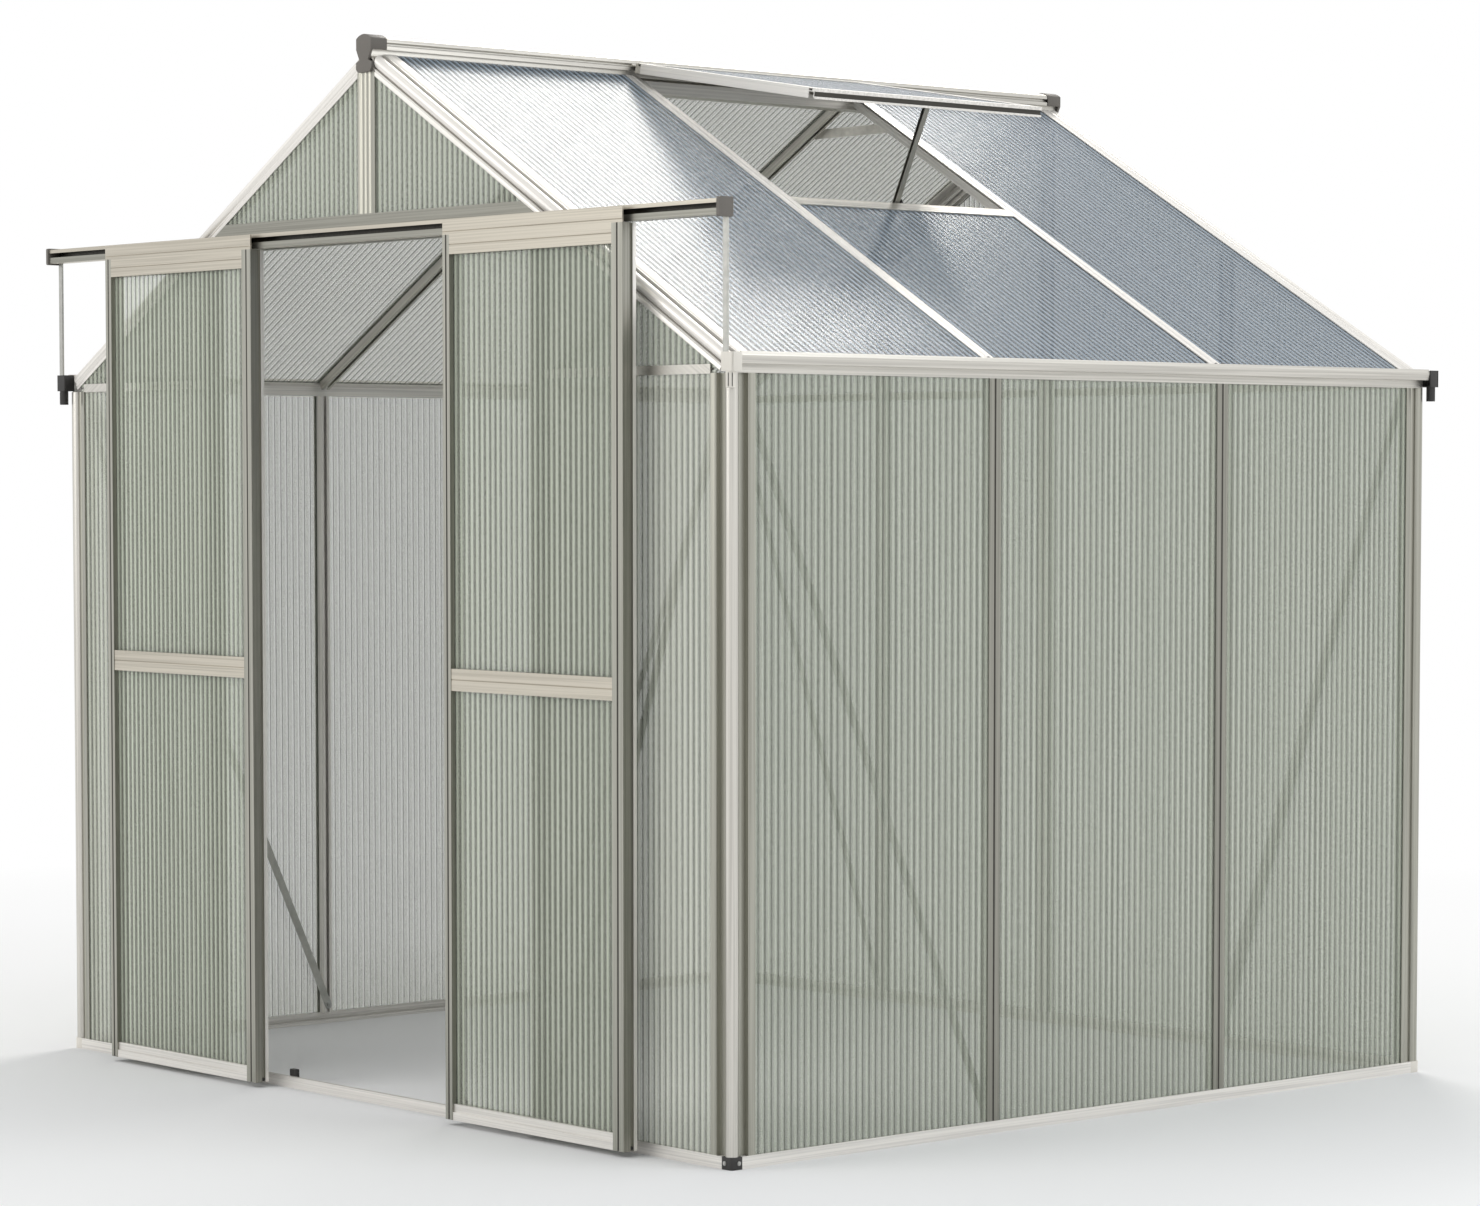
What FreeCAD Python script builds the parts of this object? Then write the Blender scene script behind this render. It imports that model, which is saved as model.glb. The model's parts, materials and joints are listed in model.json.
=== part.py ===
"""Aluminium greenhouse with twin-wall glazing, a pair of sliding doors and a hinged roof vent.

Millimetres, +Z up. The door end faces -Y and the vent is on the +X slope. The origin is on the
ground at the middle of the overall box. Doors and vent stand part open, as they are often left.
"""
import FreeCAD
import Part

import math
import os

Vector = FreeCAD.Vector

# House
width = 2163.0                # outer faces of the side walls
depth = 1900.0                # outer faces of the end walls
eave_height = 1445.0          # roof plane over the side wall's outer face
roof_pitch = 30.0             # degrees
front_bay = 655.0             # front wall face to the first side bar
middle_bay = 628.0            # first side bar to the second

# Glazing
panel_thickness = 4.0
panel_gap = 0.2               # between a sheet and each side of its slot
edge_gap = 1.0                # between a sheet's edge and the bottom of its slot
seat_gap = 0.2                # between cut ends of extrusions that meet

# Extrusions
wall = 2.2                    # thickness of caps, flanges and webs
bar_depth = 24.0              # outer face to the inner face of the bolt channel
cap_width = 30.0
cap_groove = 4.6              # width of the V groove along caps and flanges
cap_groove_depth = 1.4
flange_lip = 1.6              # a corner extrusion's recess to the V groove of its flange
bar_web = 6.0
channel_width = 22.0
channel_mouth = 8.0
post_bead = 12.0              # radius of the round bead on posts and rafters
post_leg = 57.0
post_groove_end = 40.0        # where the flange of a post starts, from the corner
rafter_groove_end = 28.0
gable_leg = 35.0
gable_groove_end = 23.0
corner_recess = 9.0           # depth of the grooves beside the bead

# Base
sill_height = 23.0
sill_depth = 26.0
sill_floor = 2.5
sill_seat = 8.0               # height of the glazing slot's floor
anchor_hole = 4.0             # radius
anchor_pitch = 1400.0         # along the side sills
plug_round = 6.0
plug_key = 30.0               # length of the plug's key inside each sill
plug_key_height = 9.0

# Eave
gutter_reach = 19.0           # outside the side wall
gutter_floor = 11.0           # trough floor below the eave height
gutter_lip = 22.0             # height of the trough's outer wall
gutter_bend = 14.5            # height of the bend in that wall
gutter_kink = 2.5             # foot and rim of that wall stand back from the bend
gutter_skirt = 16.0           # below the trough
roof_ledge = 16.0             # length of the lips that hold the roof sheets
outlet_reach = 18.0           # beyond the end walls
outlet_length = 26.0
outlet_height = 34.0
outlet_rise = 9.0             # above the eave height
outlet_lap = 8.0
outlet_groove = 2.0           # width of the groove behind the outlet's front
outlet_groove_depth = 1.4
spout_out = 8.0               # spout's axis outside the side wall
spout_reach = 8.5             # and beyond the end wall
spout_radius = 9.0
spout_wall = 2.0
spout_length = 29.0
tie_height = 17.0
tie_drop = 1.0                # foot of the ties below the gutters' skirts

# Gables and ridge
gable_post_width = 56.0
ridge_lobe = 22.0             # half width of the ridge's upper part
ridge_box = 25.0              # half width of its lower part
ridge_neck = 14.0
ridge_rise = 24.6             # top of the ridge above the roof planes' crossing
ridge_shoulder = 18.0
ridge_lobe_floor = 3.4        # underside of the upper part below the crossing
ridge_drop = 47.4             # underside of the ridge below the crossing
hinge_inset = 19.5            # hinge axis from the ridge's middle
hinge_rise = 7.6              # hinge axis above the crossing
hinge_bead = 4.0
hinge_gap = 0.3
bar_top = 24.0                # bars and rafters stop this far down the slope
cap_plate = 6.0
cap_sleeve = 34.0
cap_shell = 2.0
tie_half_length = 130.0
tie_strip = 20.0
tie_level = 90.0              # middle of a collar tie below the crossing
strip_thickness = 1.5
brace_strip = 18.0

# Doors
door_width = 532.0
door_gap = 1.0                # each door to the middle line when shut
door_open = 316.0             # how far each stands open
door_lap = 6.0                # jamb's middle outside a shut door's edge
door_bottom = 11.0
door_face = 56.0              # door's front in front of the front wall
door_depth = 32.0
stile_width = 21.0
wide_stile = 31.0             # the stile on the right of either door
stile_slot = 10.0
stile_groove = 8.0
stile_groove_depth = 4.0
door_panel_front = 46.2       # front side of the glazing slot, in front of the wall
mid_rail_height = 830.0
mid_rail = 42.0
bottom_rail = 31.0
rail_depth = 21.0
rail_setback = 1.0
hanger_plate = 3.0
hanger_box = 37.0             # height of the hanger's closed part
hanger_groove = 1.0
hanger_gap = 2.0              # under the track
jamb_rib = 18.0
track_gap = 14.0              # track's back in front of the wall: the height of the jamb's rib
track_depth = 27.0
track_height = 29.0
track_below_rafter = 26.0
track_overhang = 10.5         # beyond the side wall's face
track_lower_lip = 12.0
track_upper_lip = 7.5
track_cap = 8.0
track_cap_rim = 3.0
strut_width = 12.0
strut_thickness = 4.0
strut_offset = 4.0            # strut's middle outside the side wall
header_height = 56.0
roller_radius = 9.0
roller_tread = 7.5            # radius of the groove that runs on the rail
roller_width = 8.0
roller_groove = 4.0
roller_inset = 60.0           # from the door's ends
axle_radius = 3.0
axle_gap = 0.06
axle_collar = 4.0
axle_nut = 5.0
axle_nut_length = 3.0
run_gap = 0.3
rail_rib = 2.5
clip_offset = 280.0
clip_size = (20.0, 10.0, 14.0)

# Vent
vent_angle = 20.7             # degrees that it stands open
vent_lift = 1.5               # underside above the roof plane when shut
vent_height = 21.0
vent_rail = 20.0
vent_slot_depth = 10.0
vent_lip = 1.5                # thickness of the lips that hold the vent's sheet
vent_groove_low = 6.0         # groove in the lower rail's face, out of the roof plane
vent_groove_high = 15.5
vent_groove_depth = 3.0
vent_top_start = 28.0         # down the slope from the crossing
vent_top_rail = 16.0
vent_end = 582.0
vent_side_gap = 1.0           # from the middle of the bars beside it
vent_sill_start = 566.0
vent_sill_length = 30.0
stay_length = 385.0
stay_width = 9.0              # across the channel's web
stay_breadth = 12.0           # along its flanges
stay_wall = 1.6
stay_hole = 2.5               # radius
stay_hole_pitch = 32.0
stay_pivot_inset = 11.0       # from the vent's lower edge
stay_head_gap = 0.6           # between the stay's rounded end and the vent's rail
peg_slope = 554.0
peg_height = 1.0
peg_radius = 2.5
peg_plate = 2.0
peg_side = 10.0               # peg plate from the stay's middle
ear_thickness = 2.5

# Worked out from the above
half_width = width / 2
slot = panel_thickness + 2 * panel_gap
flange = wall + slot
flange_back = flange + wall
front_y = (door_face - outlet_reach - depth) / 2
rear_y = front_y + depth
first_bar_y = front_y + front_bay
second_bar_y = first_bar_y + middle_bay
vent_middle_y = (first_bar_y + second_bar_y) / 2
pitch = math.radians(roof_pitch)
crossing = eave_height + half_width * math.tan(pitch)
eave_slope = half_width / math.cos(pitch)
gutter_base = eave_height - gutter_floor
wall_top = gutter_base - gutter_skirt
tie_base = wall_top - tie_drop
jamb_x = door_width + door_lap
spare_edge = bar_web / 2 + edge_gap
post_edge = post_groove_end + wall + edge_gap
rafter_edge = rafter_groove_end + wall + edge_gap
gable_edge = gable_groove_end + wall + edge_gap


def roof_height(x, below=0.0):
    """Height of the plane that lies this far below the roof plane, at x."""
    return crossing - abs(x) * math.tan(pitch) - below / math.cos(pitch)


track_base = roof_height(jamb_x, gable_leg) - track_below_rafter
door_top = track_base - hanger_gap
ridge_base = crossing - ridge_drop
sheet_out = -wall - panel_gap
sheet_in = sheet_out - panel_thickness
panel_top = (ridge_neck + seat_gap - sheet_in * math.sin(pitch)) / math.cos(pitch)


def outline(points):
    """Closed face in the XY plane through points."""
    corners = [Vector(a, b, 0) for a, b in points]
    return Part.Face(Part.makePolygon(corners + corners[:1]))


def placed(shape, start, along, second):
    """Move a shape made on XY: its Y axis to second, its Z axis to along, its origin to start."""
    third = Vector(along).normalize()
    across = Vector(second).normalize()
    first = across.cross(third)
    turn = FreeCAD.Matrix(first.x, across.x, third.x, start.x, first.y, across.y, third.y, start.y,
                          first.z, across.z, third.z, start.z, 0, 0, 0, 1)
    shape.Placement = FreeCAD.Placement(turn)
    return shape


def extrude(profile, start, end, second):
    """Extrude a profile from start to end. The second coordinate of its points runs along second."""
    run = end - start
    return placed(outline(profile).extrude(Vector(0, 0, run.Length)), start, run, second)


def beaded(profile, start, end, second):
    """Corner extrusion from start to end with its round bead."""
    length = (end - start).Length
    bead = Part.makeCylinder(post_bead, length, Vector(post_bead, post_bead, 0))
    solid = outline(profile).extrude(Vector(0, 0, length)).fuse(bead).removeSplitter().Solids[0]
    return placed(solid, start, end - start, second)


def block(low, high):
    return Part.makeBox(high[0] - low[0], high[1] - low[1], high[2] - low[2], Vector(*low))


def slope_point(side, s, n, y):
    """Point on a slope: s down from the crossing, n out of the roof plane."""
    x = s * math.cos(pitch) + n * math.sin(pitch)
    return Vector(side * x, y, crossing - s * math.sin(pitch) + n * math.cos(pitch))


def slope_out(side):
    """Direction out of a roof plane."""
    return Vector(side * math.sin(pitch), 0, math.cos(pitch))


def slope_bar(profile, side, s_low, s_high, y, mirrored=False, make=extrude):
    """Bar along a slope whose profile's second coordinate goes into the roof."""
    out = slope_out(side)
    low = slope_point(side, s_low, 0, y)
    high = slope_point(side, s_high, 0, y)
    upward = (side > 0) != mirrored
    ends = (low, high) if upward else (high, low)
    return make(profile, ends[0], ends[1], -out)


def slope_prism(points, side, y_low, y_high):
    """Solid whose (s, n) outline on a slope is carried along Y."""
    out = slope_out(side)
    ends = (y_high, y_low) if side > 0 else (y_low, y_high)
    origin = [slope_point(side, 0, 0, y) for y in ends]
    return extrude(points, origin[0], origin[1], out)


def gable_prism(points, y_low, y_high):
    """Solid whose (x, z) outline is carried along Y."""
    mirrored = [(-x, z) for x, z in points]
    return extrude(mirrored, Vector(0, y_low, 0), Vector(0, y_high, 0), Vector(0, 0, 1))


def door_prism(points, x_low, x_high):
    """Solid whose (distance in front of the wall, z) outline is carried along X."""
    profile = [(-reach, z) for reach, z in points]
    return extrude(profile, Vector(x_low, front_y, 0), Vector(x_high, front_y, 0), Vector(0, 0, 1))


def v_groove(middle):
    """Points of a groove in an outer face, from low to high."""
    return [(middle - cap_groove / 2, 0), (middle, cap_groove_depth), (middle + cap_groove / 2, 0)]


def bar_profile(cap=cap_width, grooves=(0.0,), rib=0.0):
    """Glazing bar: grooved outer cap, slot for a sheet on each side, bolt channel inside."""
    half = cap / 2
    web = bar_web / 2
    outer = channel_width / 2
    inner = outer - wall
    mouth = channel_mouth / 2
    face = [(-half, 0)]
    if rib:
        face += [(-rib / 2, 0), (-rib / 2, -track_gap), (rib / 2, -track_gap), (rib / 2, 0)]
    else:
        for middle in grooves:
            face += v_groove(middle)
    right_half = [(half, 0), (half, wall), (web, wall), (web, flange), (outer, flange), (outer, bar_depth),
                  (mouth, bar_depth), (mouth, bar_depth - wall), (inner, bar_depth - wall),
                  (inner, flange_back)]
    left_half = [(-u, v) for u, v in reversed(right_half[1:])]
    return face + right_half + left_half


def corner_profile(leg, groove_end, second_leg, second_groove_end):
    """Corner extrusion: round bead at the corner, recess beside it, then a slot and channel on each leg."""
    def half(length, start):
        web = start + wall
        foot = min(start + channel_width / 2, length)
        groove = v_groove(start + flange_lip + cap_groove / 2)
        return [(length, 0)] + groove[::-1] + [(start, 0), (start, corner_recess)], [
            (start, corner_recess + wall), (start, bar_depth), (foot, bar_depth), (foot, bar_depth - wall),
            (web, bar_depth - wall), (web, flange_back), (length, flange_back), (length, flange),
            (web, flange), (web, wall), (length, wall)]
    outer, inner = half(leg, groove_end)
    second_outer, second_inner = half(second_leg, second_groove_end)
    floor = corner_recess + wall
    points = outer + [(corner_recess, corner_recess)]
    points += [(v, u) for u, v in reversed(second_outer)]
    points += [(v, u) for u, v in reversed(second_inner)]
    points += [(floor, floor)] + inner
    return points


parts = {}


# Base: four sills, counterclockwise, and the plugs that key them together
walls = {
    "front": (Vector(-half_width, front_y, 0), Vector(1, 0, 0), width),
    "right": (Vector(half_width, front_y, 0), Vector(0, 1, 0), depth),
    "rear": (Vector(half_width, rear_y, 0), Vector(-1, 0, 0), width),
    "left": (Vector(-half_width, rear_y, 0), Vector(0, -1, 0), depth),
}
up = Vector(0, 0, 1)
sill_profile = [(0, 0), (sill_depth, 0), (sill_depth, sill_seat), (sill_depth - wall, sill_seat),
                (sill_depth - wall, sill_floor), (flange_back, sill_floor), (flange_back, sill_height),
                (flange, sill_height), (flange, sill_seat), (wall, sill_seat), (wall, sill_height),
                (0, sill_height)]
anchor_inset = (flange_back + sill_depth - wall) / 2
plugs = []
for name, (corner, along, length) in walls.items():
    inward = up.cross(along)
    sill = extrude(sill_profile, corner + along * sill_depth, corner + along * (length - sill_depth), up)
    if name in ("left", "right"):
        for place in (-anchor_pitch / 2, anchor_pitch / 2):
            spot = corner + inward * anchor_inset
            hole = Part.makeCylinder(anchor_hole, sill_height, Vector(spot.x, place, -1))
            sill = sill.cut(hole)
    parts[name + "_sill"] = [sill]
    body = Part.makeBox(sill_depth, sill_depth, sill_height)
    body = body.makeFillet(plug_round, [e for e in body.Edges if e.BoundBox.XMax < 1 and e.BoundBox.YMax < 1])
    key_low = flange_back + panel_gap
    key_high = sill_depth - wall - panel_gap
    for swap in (False, True):
        low = (sill_depth, key_low, sill_floor)
        high = (sill_depth + plug_key, key_high, sill_floor + plug_key_height)
        if swap:
            low = (low[1], low[0], low[2])
            high = (high[1], high[0], high[2])
        body = body.fuse(block(low, high))
    plugs.append(placed(body.removeSplitter(), corner, up, inward))
parts["base_corner_plugs"] = plugs

# Corner posts and glazing bars of the walls
post_profile = corner_profile(post_leg, post_groove_end, post_leg, post_groove_end)
wall_bar = bar_profile()
post_names = {"front": "front_left_post", "right": "front_right_post", "rear": "rear_right_post",
              "left": "rear_left_post"}
for name, (corner, along, length) in walls.items():
    foot = corner + up * sill_height
    parts[post_names[name]] = [beaded(post_profile, foot, corner + up * wall_top, up.cross(along))]
for name, side in (("left", -1), ("right", 1)):
    parts[name + "_wall_bars"] = [
        extrude(wall_bar, Vector(side * half_width, y, sill_height), Vector(side * half_width, y, wall_top),
                Vector(-side, 0, 0)) for y in (first_bar_y, second_bar_y)]

# Rafters, made of the corner extrusion, cut back for the ridge and the front gable post
rafter_profile = corner_profile(post_leg, rafter_groove_end, gable_leg, gable_groove_end)
box_side = crossing - ridge_box * math.tan(pitch) - (flange + panel_gap) / math.cos(pitch)
neck_side = crossing - ridge_neck * math.tan(pitch) - (flange + panel_gap) / math.cos(pitch)
ridge_floor = crossing - ridge_lobe_floor
clear = seat_gap
ridge_space = gable_prism(
    [(-ridge_box - clear, ridge_base - clear), (ridge_box + clear, ridge_base - clear),
     (ridge_box + clear, box_side + clear), (ridge_neck + clear, neck_side + clear),
     (ridge_neck + clear, crossing), (-ridge_neck - clear, crossing),
     (-ridge_neck - clear, neck_side + clear), (-ridge_box - clear, box_side + clear)], front_y, rear_y)
post_space = block((-gable_post_width / 2 - clear, front_y, wall_top),
                   (gable_post_width / 2 + clear, front_y + bar_depth, crossing))
rafter_foot = eave_slope - roof_ledge


def rafter(side, y, rear):
    bar = slope_bar(rafter_profile, side, rafter_foot, bar_top, y, rear, beaded)
    return bar.cut(ridge_space)


parts["front_rafters"] = [rafter(side, front_y, False).cut(post_space) for side in (-1, 1)]
parts["rear_rafters"] = [rafter(side, rear_y, True) for side in (-1, 1)]
above_rafters = gable_prism(
    [(-half_width, roof_height(half_width, gable_leg + clear)), (0, roof_height(0, gable_leg + clear)),
     (half_width, roof_height(half_width, gable_leg + clear)), (half_width, crossing + ridge_rise),
     (-half_width, crossing + ridge_rise)], front_y, rear_y)


def end_bar(profile, x, low, high, rear=False):
    """Upright bar in an end wall, cut to the underside of the rafters."""
    y = rear_y if rear else front_y
    bar = extrude(profile, Vector(x, y, low), Vector(x, y, high), Vector(0, -1 if rear else 1, 0))
    return bar.cut(above_rafters)


jamb_profile = bar_profile(rib=jamb_rib)
for name, side in (("left", -1), ("right", 1)):
    parts[name + "_door_jamb"] = [
        end_bar(jamb_profile, side * jamb_x, sill_height, track_base + track_height)]
rear_bar_places = (-jamb_x, 0.0, jamb_x)
parts["rear_wall_bars"] = [
    end_bar(wall_bar, x, sill_height, ridge_base - clear, True) for x in rear_bar_places]

# Door header between the jambs, with a slot for the gable sheets in its top
header_top = track_base + header_height
header_profile = [(0, track_base), (0, header_top), (wall, header_top), (wall, header_top - stile_slot),
                  (flange, header_top - stile_slot), (flange, header_top), (flange_back, header_top),
                  (flange_back, track_base + wall), (bar_depth, track_base + wall), (bar_depth, track_base)]
header_half = jamb_x - cap_width / 2
header = extrude(header_profile, Vector(-header_half, front_y, 0), Vector(header_half, front_y, 0), up)
parts["door_header"] = [header.cut(above_rafters)]
gable_post_profile = bar_profile(gable_post_width, (-gable_post_width / 4, 0.0, gable_post_width / 4))
gable_post = extrude(gable_post_profile, Vector(0, front_y, header_top), Vector(0, front_y, ridge_base),
                     Vector(0, 1, 0))
parts["front_gable_post"] = [gable_post]

# Eave ties between the uprights of the end walls, slotted above and below
tie_web = tie_base + (tie_height - wall) / 2
tie_top = tie_base + tie_height
tie_profile = [(0, tie_base), (0, tie_top), (wall, tie_top), (wall, tie_web + wall),
               (flange, tie_web + wall), (flange, tie_top), (flange_back, tie_top),
               (flange_back, tie_base), (flange, tie_base), (flange, tie_web), (wall, tie_web),
               (wall, tie_base)]
corner_end = half_width - post_leg
beside = cap_width / 2
front_spans = [(-corner_end, -jamb_x - beside), (jamb_x + beside, corner_end)]
rear_spans = [(-corner_end, -jamb_x - beside), (-jamb_x + beside, -beside), (beside, jamb_x - beside),
              (jamb_x + beside, corner_end)]
ties = [extrude(tie_profile, Vector(a, front_y, 0), Vector(b, front_y, 0), up) for a, b in front_spans]
ties += [extrude(tie_profile, Vector(b, rear_y, 0), Vector(a, rear_y, 0), up) for a, b in rear_spans]
parts["eave_ties"] = [tie.cut(above_rafters) for tie in ties]


# Gutters: trough outside, slot for the wall sheets below, sloping slot for the roof sheets above.
# An open outlet box with a spout takes the water at each end.
def ledge(s, n):
    """Point of the sloping slot: s up the slope from the wall's outer face, n out of the roof plane."""
    return (n * math.sin(pitch) - s * math.cos(pitch),
            eave_height + s * math.sin(pitch) + n * math.cos(pitch))


ledge_end = -wall - edge_gap
toe = ledge(ledge_end - wall, 0)
heel = ledge(ledge_end - wall, -flange_back)
trough = gutter_base + wall
toe_share = (trough - heel[1]) / (toe[1] - heel[1])
inner_leg_top = eave_height + flange_back * (math.tan(pitch) - 1 / math.cos(pitch))
rim = gutter_base + gutter_lip
wall_bend = gutter_base + gutter_bend
wall_foot = gutter_reach - gutter_kink
gutter_profile = [
    (wall_foot, gutter_base), (gutter_reach, wall_bend), (wall_foot, rim), (wall_foot - wall, rim),
    (gutter_reach - wall, wall_bend), (wall_foot - wall, trough),
    (heel[0] + toe_share * (toe[0] - heel[0]), trough), toe, ledge(roof_ledge, 0), ledge(roof_ledge, -wall),
    ledge(ledge_end, -wall), ledge(ledge_end, -flange), ledge(roof_ledge, -flange),
    ledge(roof_ledge, -flange_back), (-flange_back, inner_leg_top), (-flange_back, wall_top),
    (-flange, wall_top), (-flange, gutter_base), (-wall, gutter_base), (-wall, wall_top), (0, wall_top),
    (0, gutter_base)]
gutter_low = front_y - outlet_reach + outlet_length
gutter_high = rear_y + outlet_reach - outlet_length
outlet_top = eave_height + outlet_rise
outlet_base = outlet_top - outlet_height
outlet_out = gutter_reach + wall
strut_seat = strut_thickness + wall / 2


def outlet(side, near, far):
    """Box over a corner from its outer end near to the gutter's end far, with a spout below."""
    def across(*reaches):
        return sorted(side * (half_width + reach) for reach in reaches)

    def along(*distances):
        return sorted(near + math.copysign(distance, far - near) for distance in distances)

    x_low, x_high = across(-outlet_lap, outlet_out)
    y_low, y_high = along(0, outlet_length)
    box = block((x_low, y_low, outlet_base), (x_high, y_high, outlet_top))
    box = box.makeFillet(wall, [e for e in box.Edges if e.BoundBox.ZLength > 1])
    spout_y = along(outlet_reach - spout_reach)[0]
    foot = Vector(side * (half_width + spout_out), spout_y, outlet_base - spout_length)
    spout = Part.makeCylinder(spout_radius, spout_length, foot)
    bore = Part.makeCylinder(spout_radius - spout_wall, spout_length + wall, foot)
    x_low, x_high = across(wall - outlet_lap, gutter_reach)
    y_low, y_high = along(strut_seat, outlet_length)
    basin = block((x_low, y_low, outlet_base + wall), (x_high, y_high, outlet_top))
    x_low, x_high = across(outlet_out - outlet_groove_depth, outlet_out)
    y_low, y_high = along(wall, wall + outlet_groove)
    groove = block((x_low, y_low, outlet_base), (x_high, y_high, outlet_top))
    return box.fuse(spout).cut(bore).cut(basin).cut(groove).removeSplitter()


outlets = []
for name, side in (("left", -1), ("right", 1)):
    ends = [Vector(side * half_width, y, 0) for y in (gutter_low, gutter_high)]
    if side > 0:
        ends.reverse()
    parts[name + "_gutter"] = [extrude(gutter_profile, ends[0], ends[1], up)]
    outlets.append(outlet(side, front_y - outlet_reach, gutter_low))
    outlets.append(outlet(side, rear_y + outlet_reach, gutter_high))
parts["gutter_outlets"] = outlets


# Ridge: upper part with a hinge groove each side, neck, lower box under the roof sheets
def ridge_face():
    top = crossing + ridge_rise
    shoulder = crossing + ridge_shoulder
    arch = Part.Arc(Vector(ridge_lobe, shoulder, 0), Vector(0, top, 0), Vector(-ridge_lobe, shoulder, 0))
    below = [(-ridge_lobe, shoulder), (-ridge_lobe, ridge_floor), (-ridge_neck, ridge_floor),
             (-ridge_neck, neck_side), (-ridge_box, box_side), (-ridge_box, ridge_base),
             (ridge_box, ridge_base), (ridge_box, box_side), (ridge_neck, neck_side),
             (ridge_neck, ridge_floor), (ridge_lobe, ridge_floor), (ridge_lobe, shoulder)]
    edges = [arch.toShape()]
    edges += [Part.makeLine(Vector(*a, 0), Vector(*b, 0)) for a, b in zip(below, below[1:])]
    face = Part.Face(Part.Wire(edges))
    for side in (-1, 1):
        centre = Vector(side * hinge_inset, crossing + hinge_rise, 0)
        groove = Part.Face(Part.Wire(Part.makeCircle(hinge_bead + hinge_gap, centre)))
        face = face.cut(groove)
    inner_box = ridge_box - wall
    inner_neck = ridge_neck - wall
    hollow = outline([(-inner_box, ridge_base + wall), (inner_box, ridge_base + wall),
                      (inner_box, box_side - wall), (inner_neck, neck_side - wall),
                      (inner_neck, shoulder), (-inner_neck, shoulder),
                      (-inner_neck, neck_side - wall), (-inner_box, box_side - wall)])
    return face.cut(hollow).Faces[0]


ridge = ridge_face().extrude(Vector(0, 0, depth))
parts["ridge_beam"] = [placed(ridge, Vector(0, rear_y, 0), Vector(0, -1, 0), up)]


def ridge_cap(y_face, direction):
    """Hourglass end plate with a sleeve over the ridge's upper part."""
    top = crossing + ridge_rise + cap_shell
    shoulder = crossing + ridge_shoulder
    side = ridge_lobe + cap_shell
    waist = crossing - ridge_drop / 2
    half = [(side, shoulder), (side, ridge_floor), (ridge_neck, waist), (ridge_box, waist - wall * 2),
            (ridge_box, ridge_base + plug_round), (ridge_box - plug_round, ridge_base)]
    points = half + [(-x, z) for x, z in reversed(half)]
    arch = Part.Arc(Vector(-side, shoulder, 0), Vector(0, top, 0), Vector(side, shoulder, 0)).toShape()
    edges = [Part.makeLine(Vector(*a, 0), Vector(*b, 0)) for a, b in zip(points, points[1:])]
    plate = Part.Face(Part.Wire(edges + [arch])).extrude(Vector(0, 0, cap_plate))
    inner_side = ridge_lobe + panel_gap
    inner_top = crossing + ridge_rise + panel_gap
    rim = [Part.makeLine(Vector(inner_side, shoulder, 0), Vector(inner_side, ridge_floor, 0)),
           Part.makeLine(Vector(inner_side, ridge_floor, 0), Vector(side, ridge_floor, 0)),
           Part.makeLine(Vector(side, ridge_floor, 0), Vector(side, shoulder, 0)),
           Part.Arc(Vector(side, shoulder, 0), Vector(0, top, 0), Vector(-side, shoulder, 0)).toShape(),
           Part.makeLine(Vector(-side, shoulder, 0), Vector(-side, ridge_floor, 0)),
           Part.makeLine(Vector(-side, ridge_floor, 0), Vector(-inner_side, ridge_floor, 0)),
           Part.makeLine(Vector(-inner_side, ridge_floor, 0), Vector(-inner_side, shoulder, 0)),
           Part.Arc(Vector(-inner_side, shoulder, 0), Vector(0, inner_top, 0),
                    Vector(inner_side, shoulder, 0)).toShape()]
    sleeve = Part.Face(Part.Wire(rim)).extrude(Vector(0, 0, cap_plate + cap_sleeve))
    cap = plate.fuse(sleeve).removeSplitter()
    return placed(cap, Vector(0, y_face, 0), Vector(0, direction, 0), up)


parts["ridge_end_caps"] = [ridge_cap(front_y - cap_plate, 1), ridge_cap(rear_y + cap_plate, -1)]

# Roof bars, collar ties and diagonal braces
for name, side in (("left", -1), ("right", 1)):
    parts[name + "_roof_bars"] = [
        slope_bar(wall_bar, side, rafter_foot, bar_top, y).cut(ridge_space)
        for y in (first_bar_y, second_bar_y)]
tie_z = crossing - tie_level
collar_ties = []
for y in (first_bar_y, second_bar_y):
    y_low = y + channel_width / 2
    strip = block((-tie_half_length, y_low, tie_z - tie_strip / 2),
                  (tie_half_length, y_low + strip_thickness, tie_z + tie_strip / 2))
    collar_ties.append(strip.common(gable_prism(
        [(-half_width, roof_height(half_width, flange_back)), (0, roof_height(0, flange_back)),
         (half_width, roof_height(half_width, flange_back)), (half_width, 0), (-half_width, 0)],
        front_y, rear_y)))
parts["collar_ties"] = collar_ties


def brace(start, end, inward):
    """Flat strip on the bars' inner faces, its ends rounded about the two bolts."""
    run = end - start
    half = brace_strip / 2
    strip = outline([(-half, 0), (half, 0), (half, run.Length), (-half, run.Length)])
    solid = strip.extrude(Vector(0, 0, strip_thickness))
    for place in (0, run.Length):
        solid = solid.fuse(Part.makeCylinder(half, strip_thickness, Vector(0, place, 0)))
    return placed(solid.removeSplitter(), start, inward, run)


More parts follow.
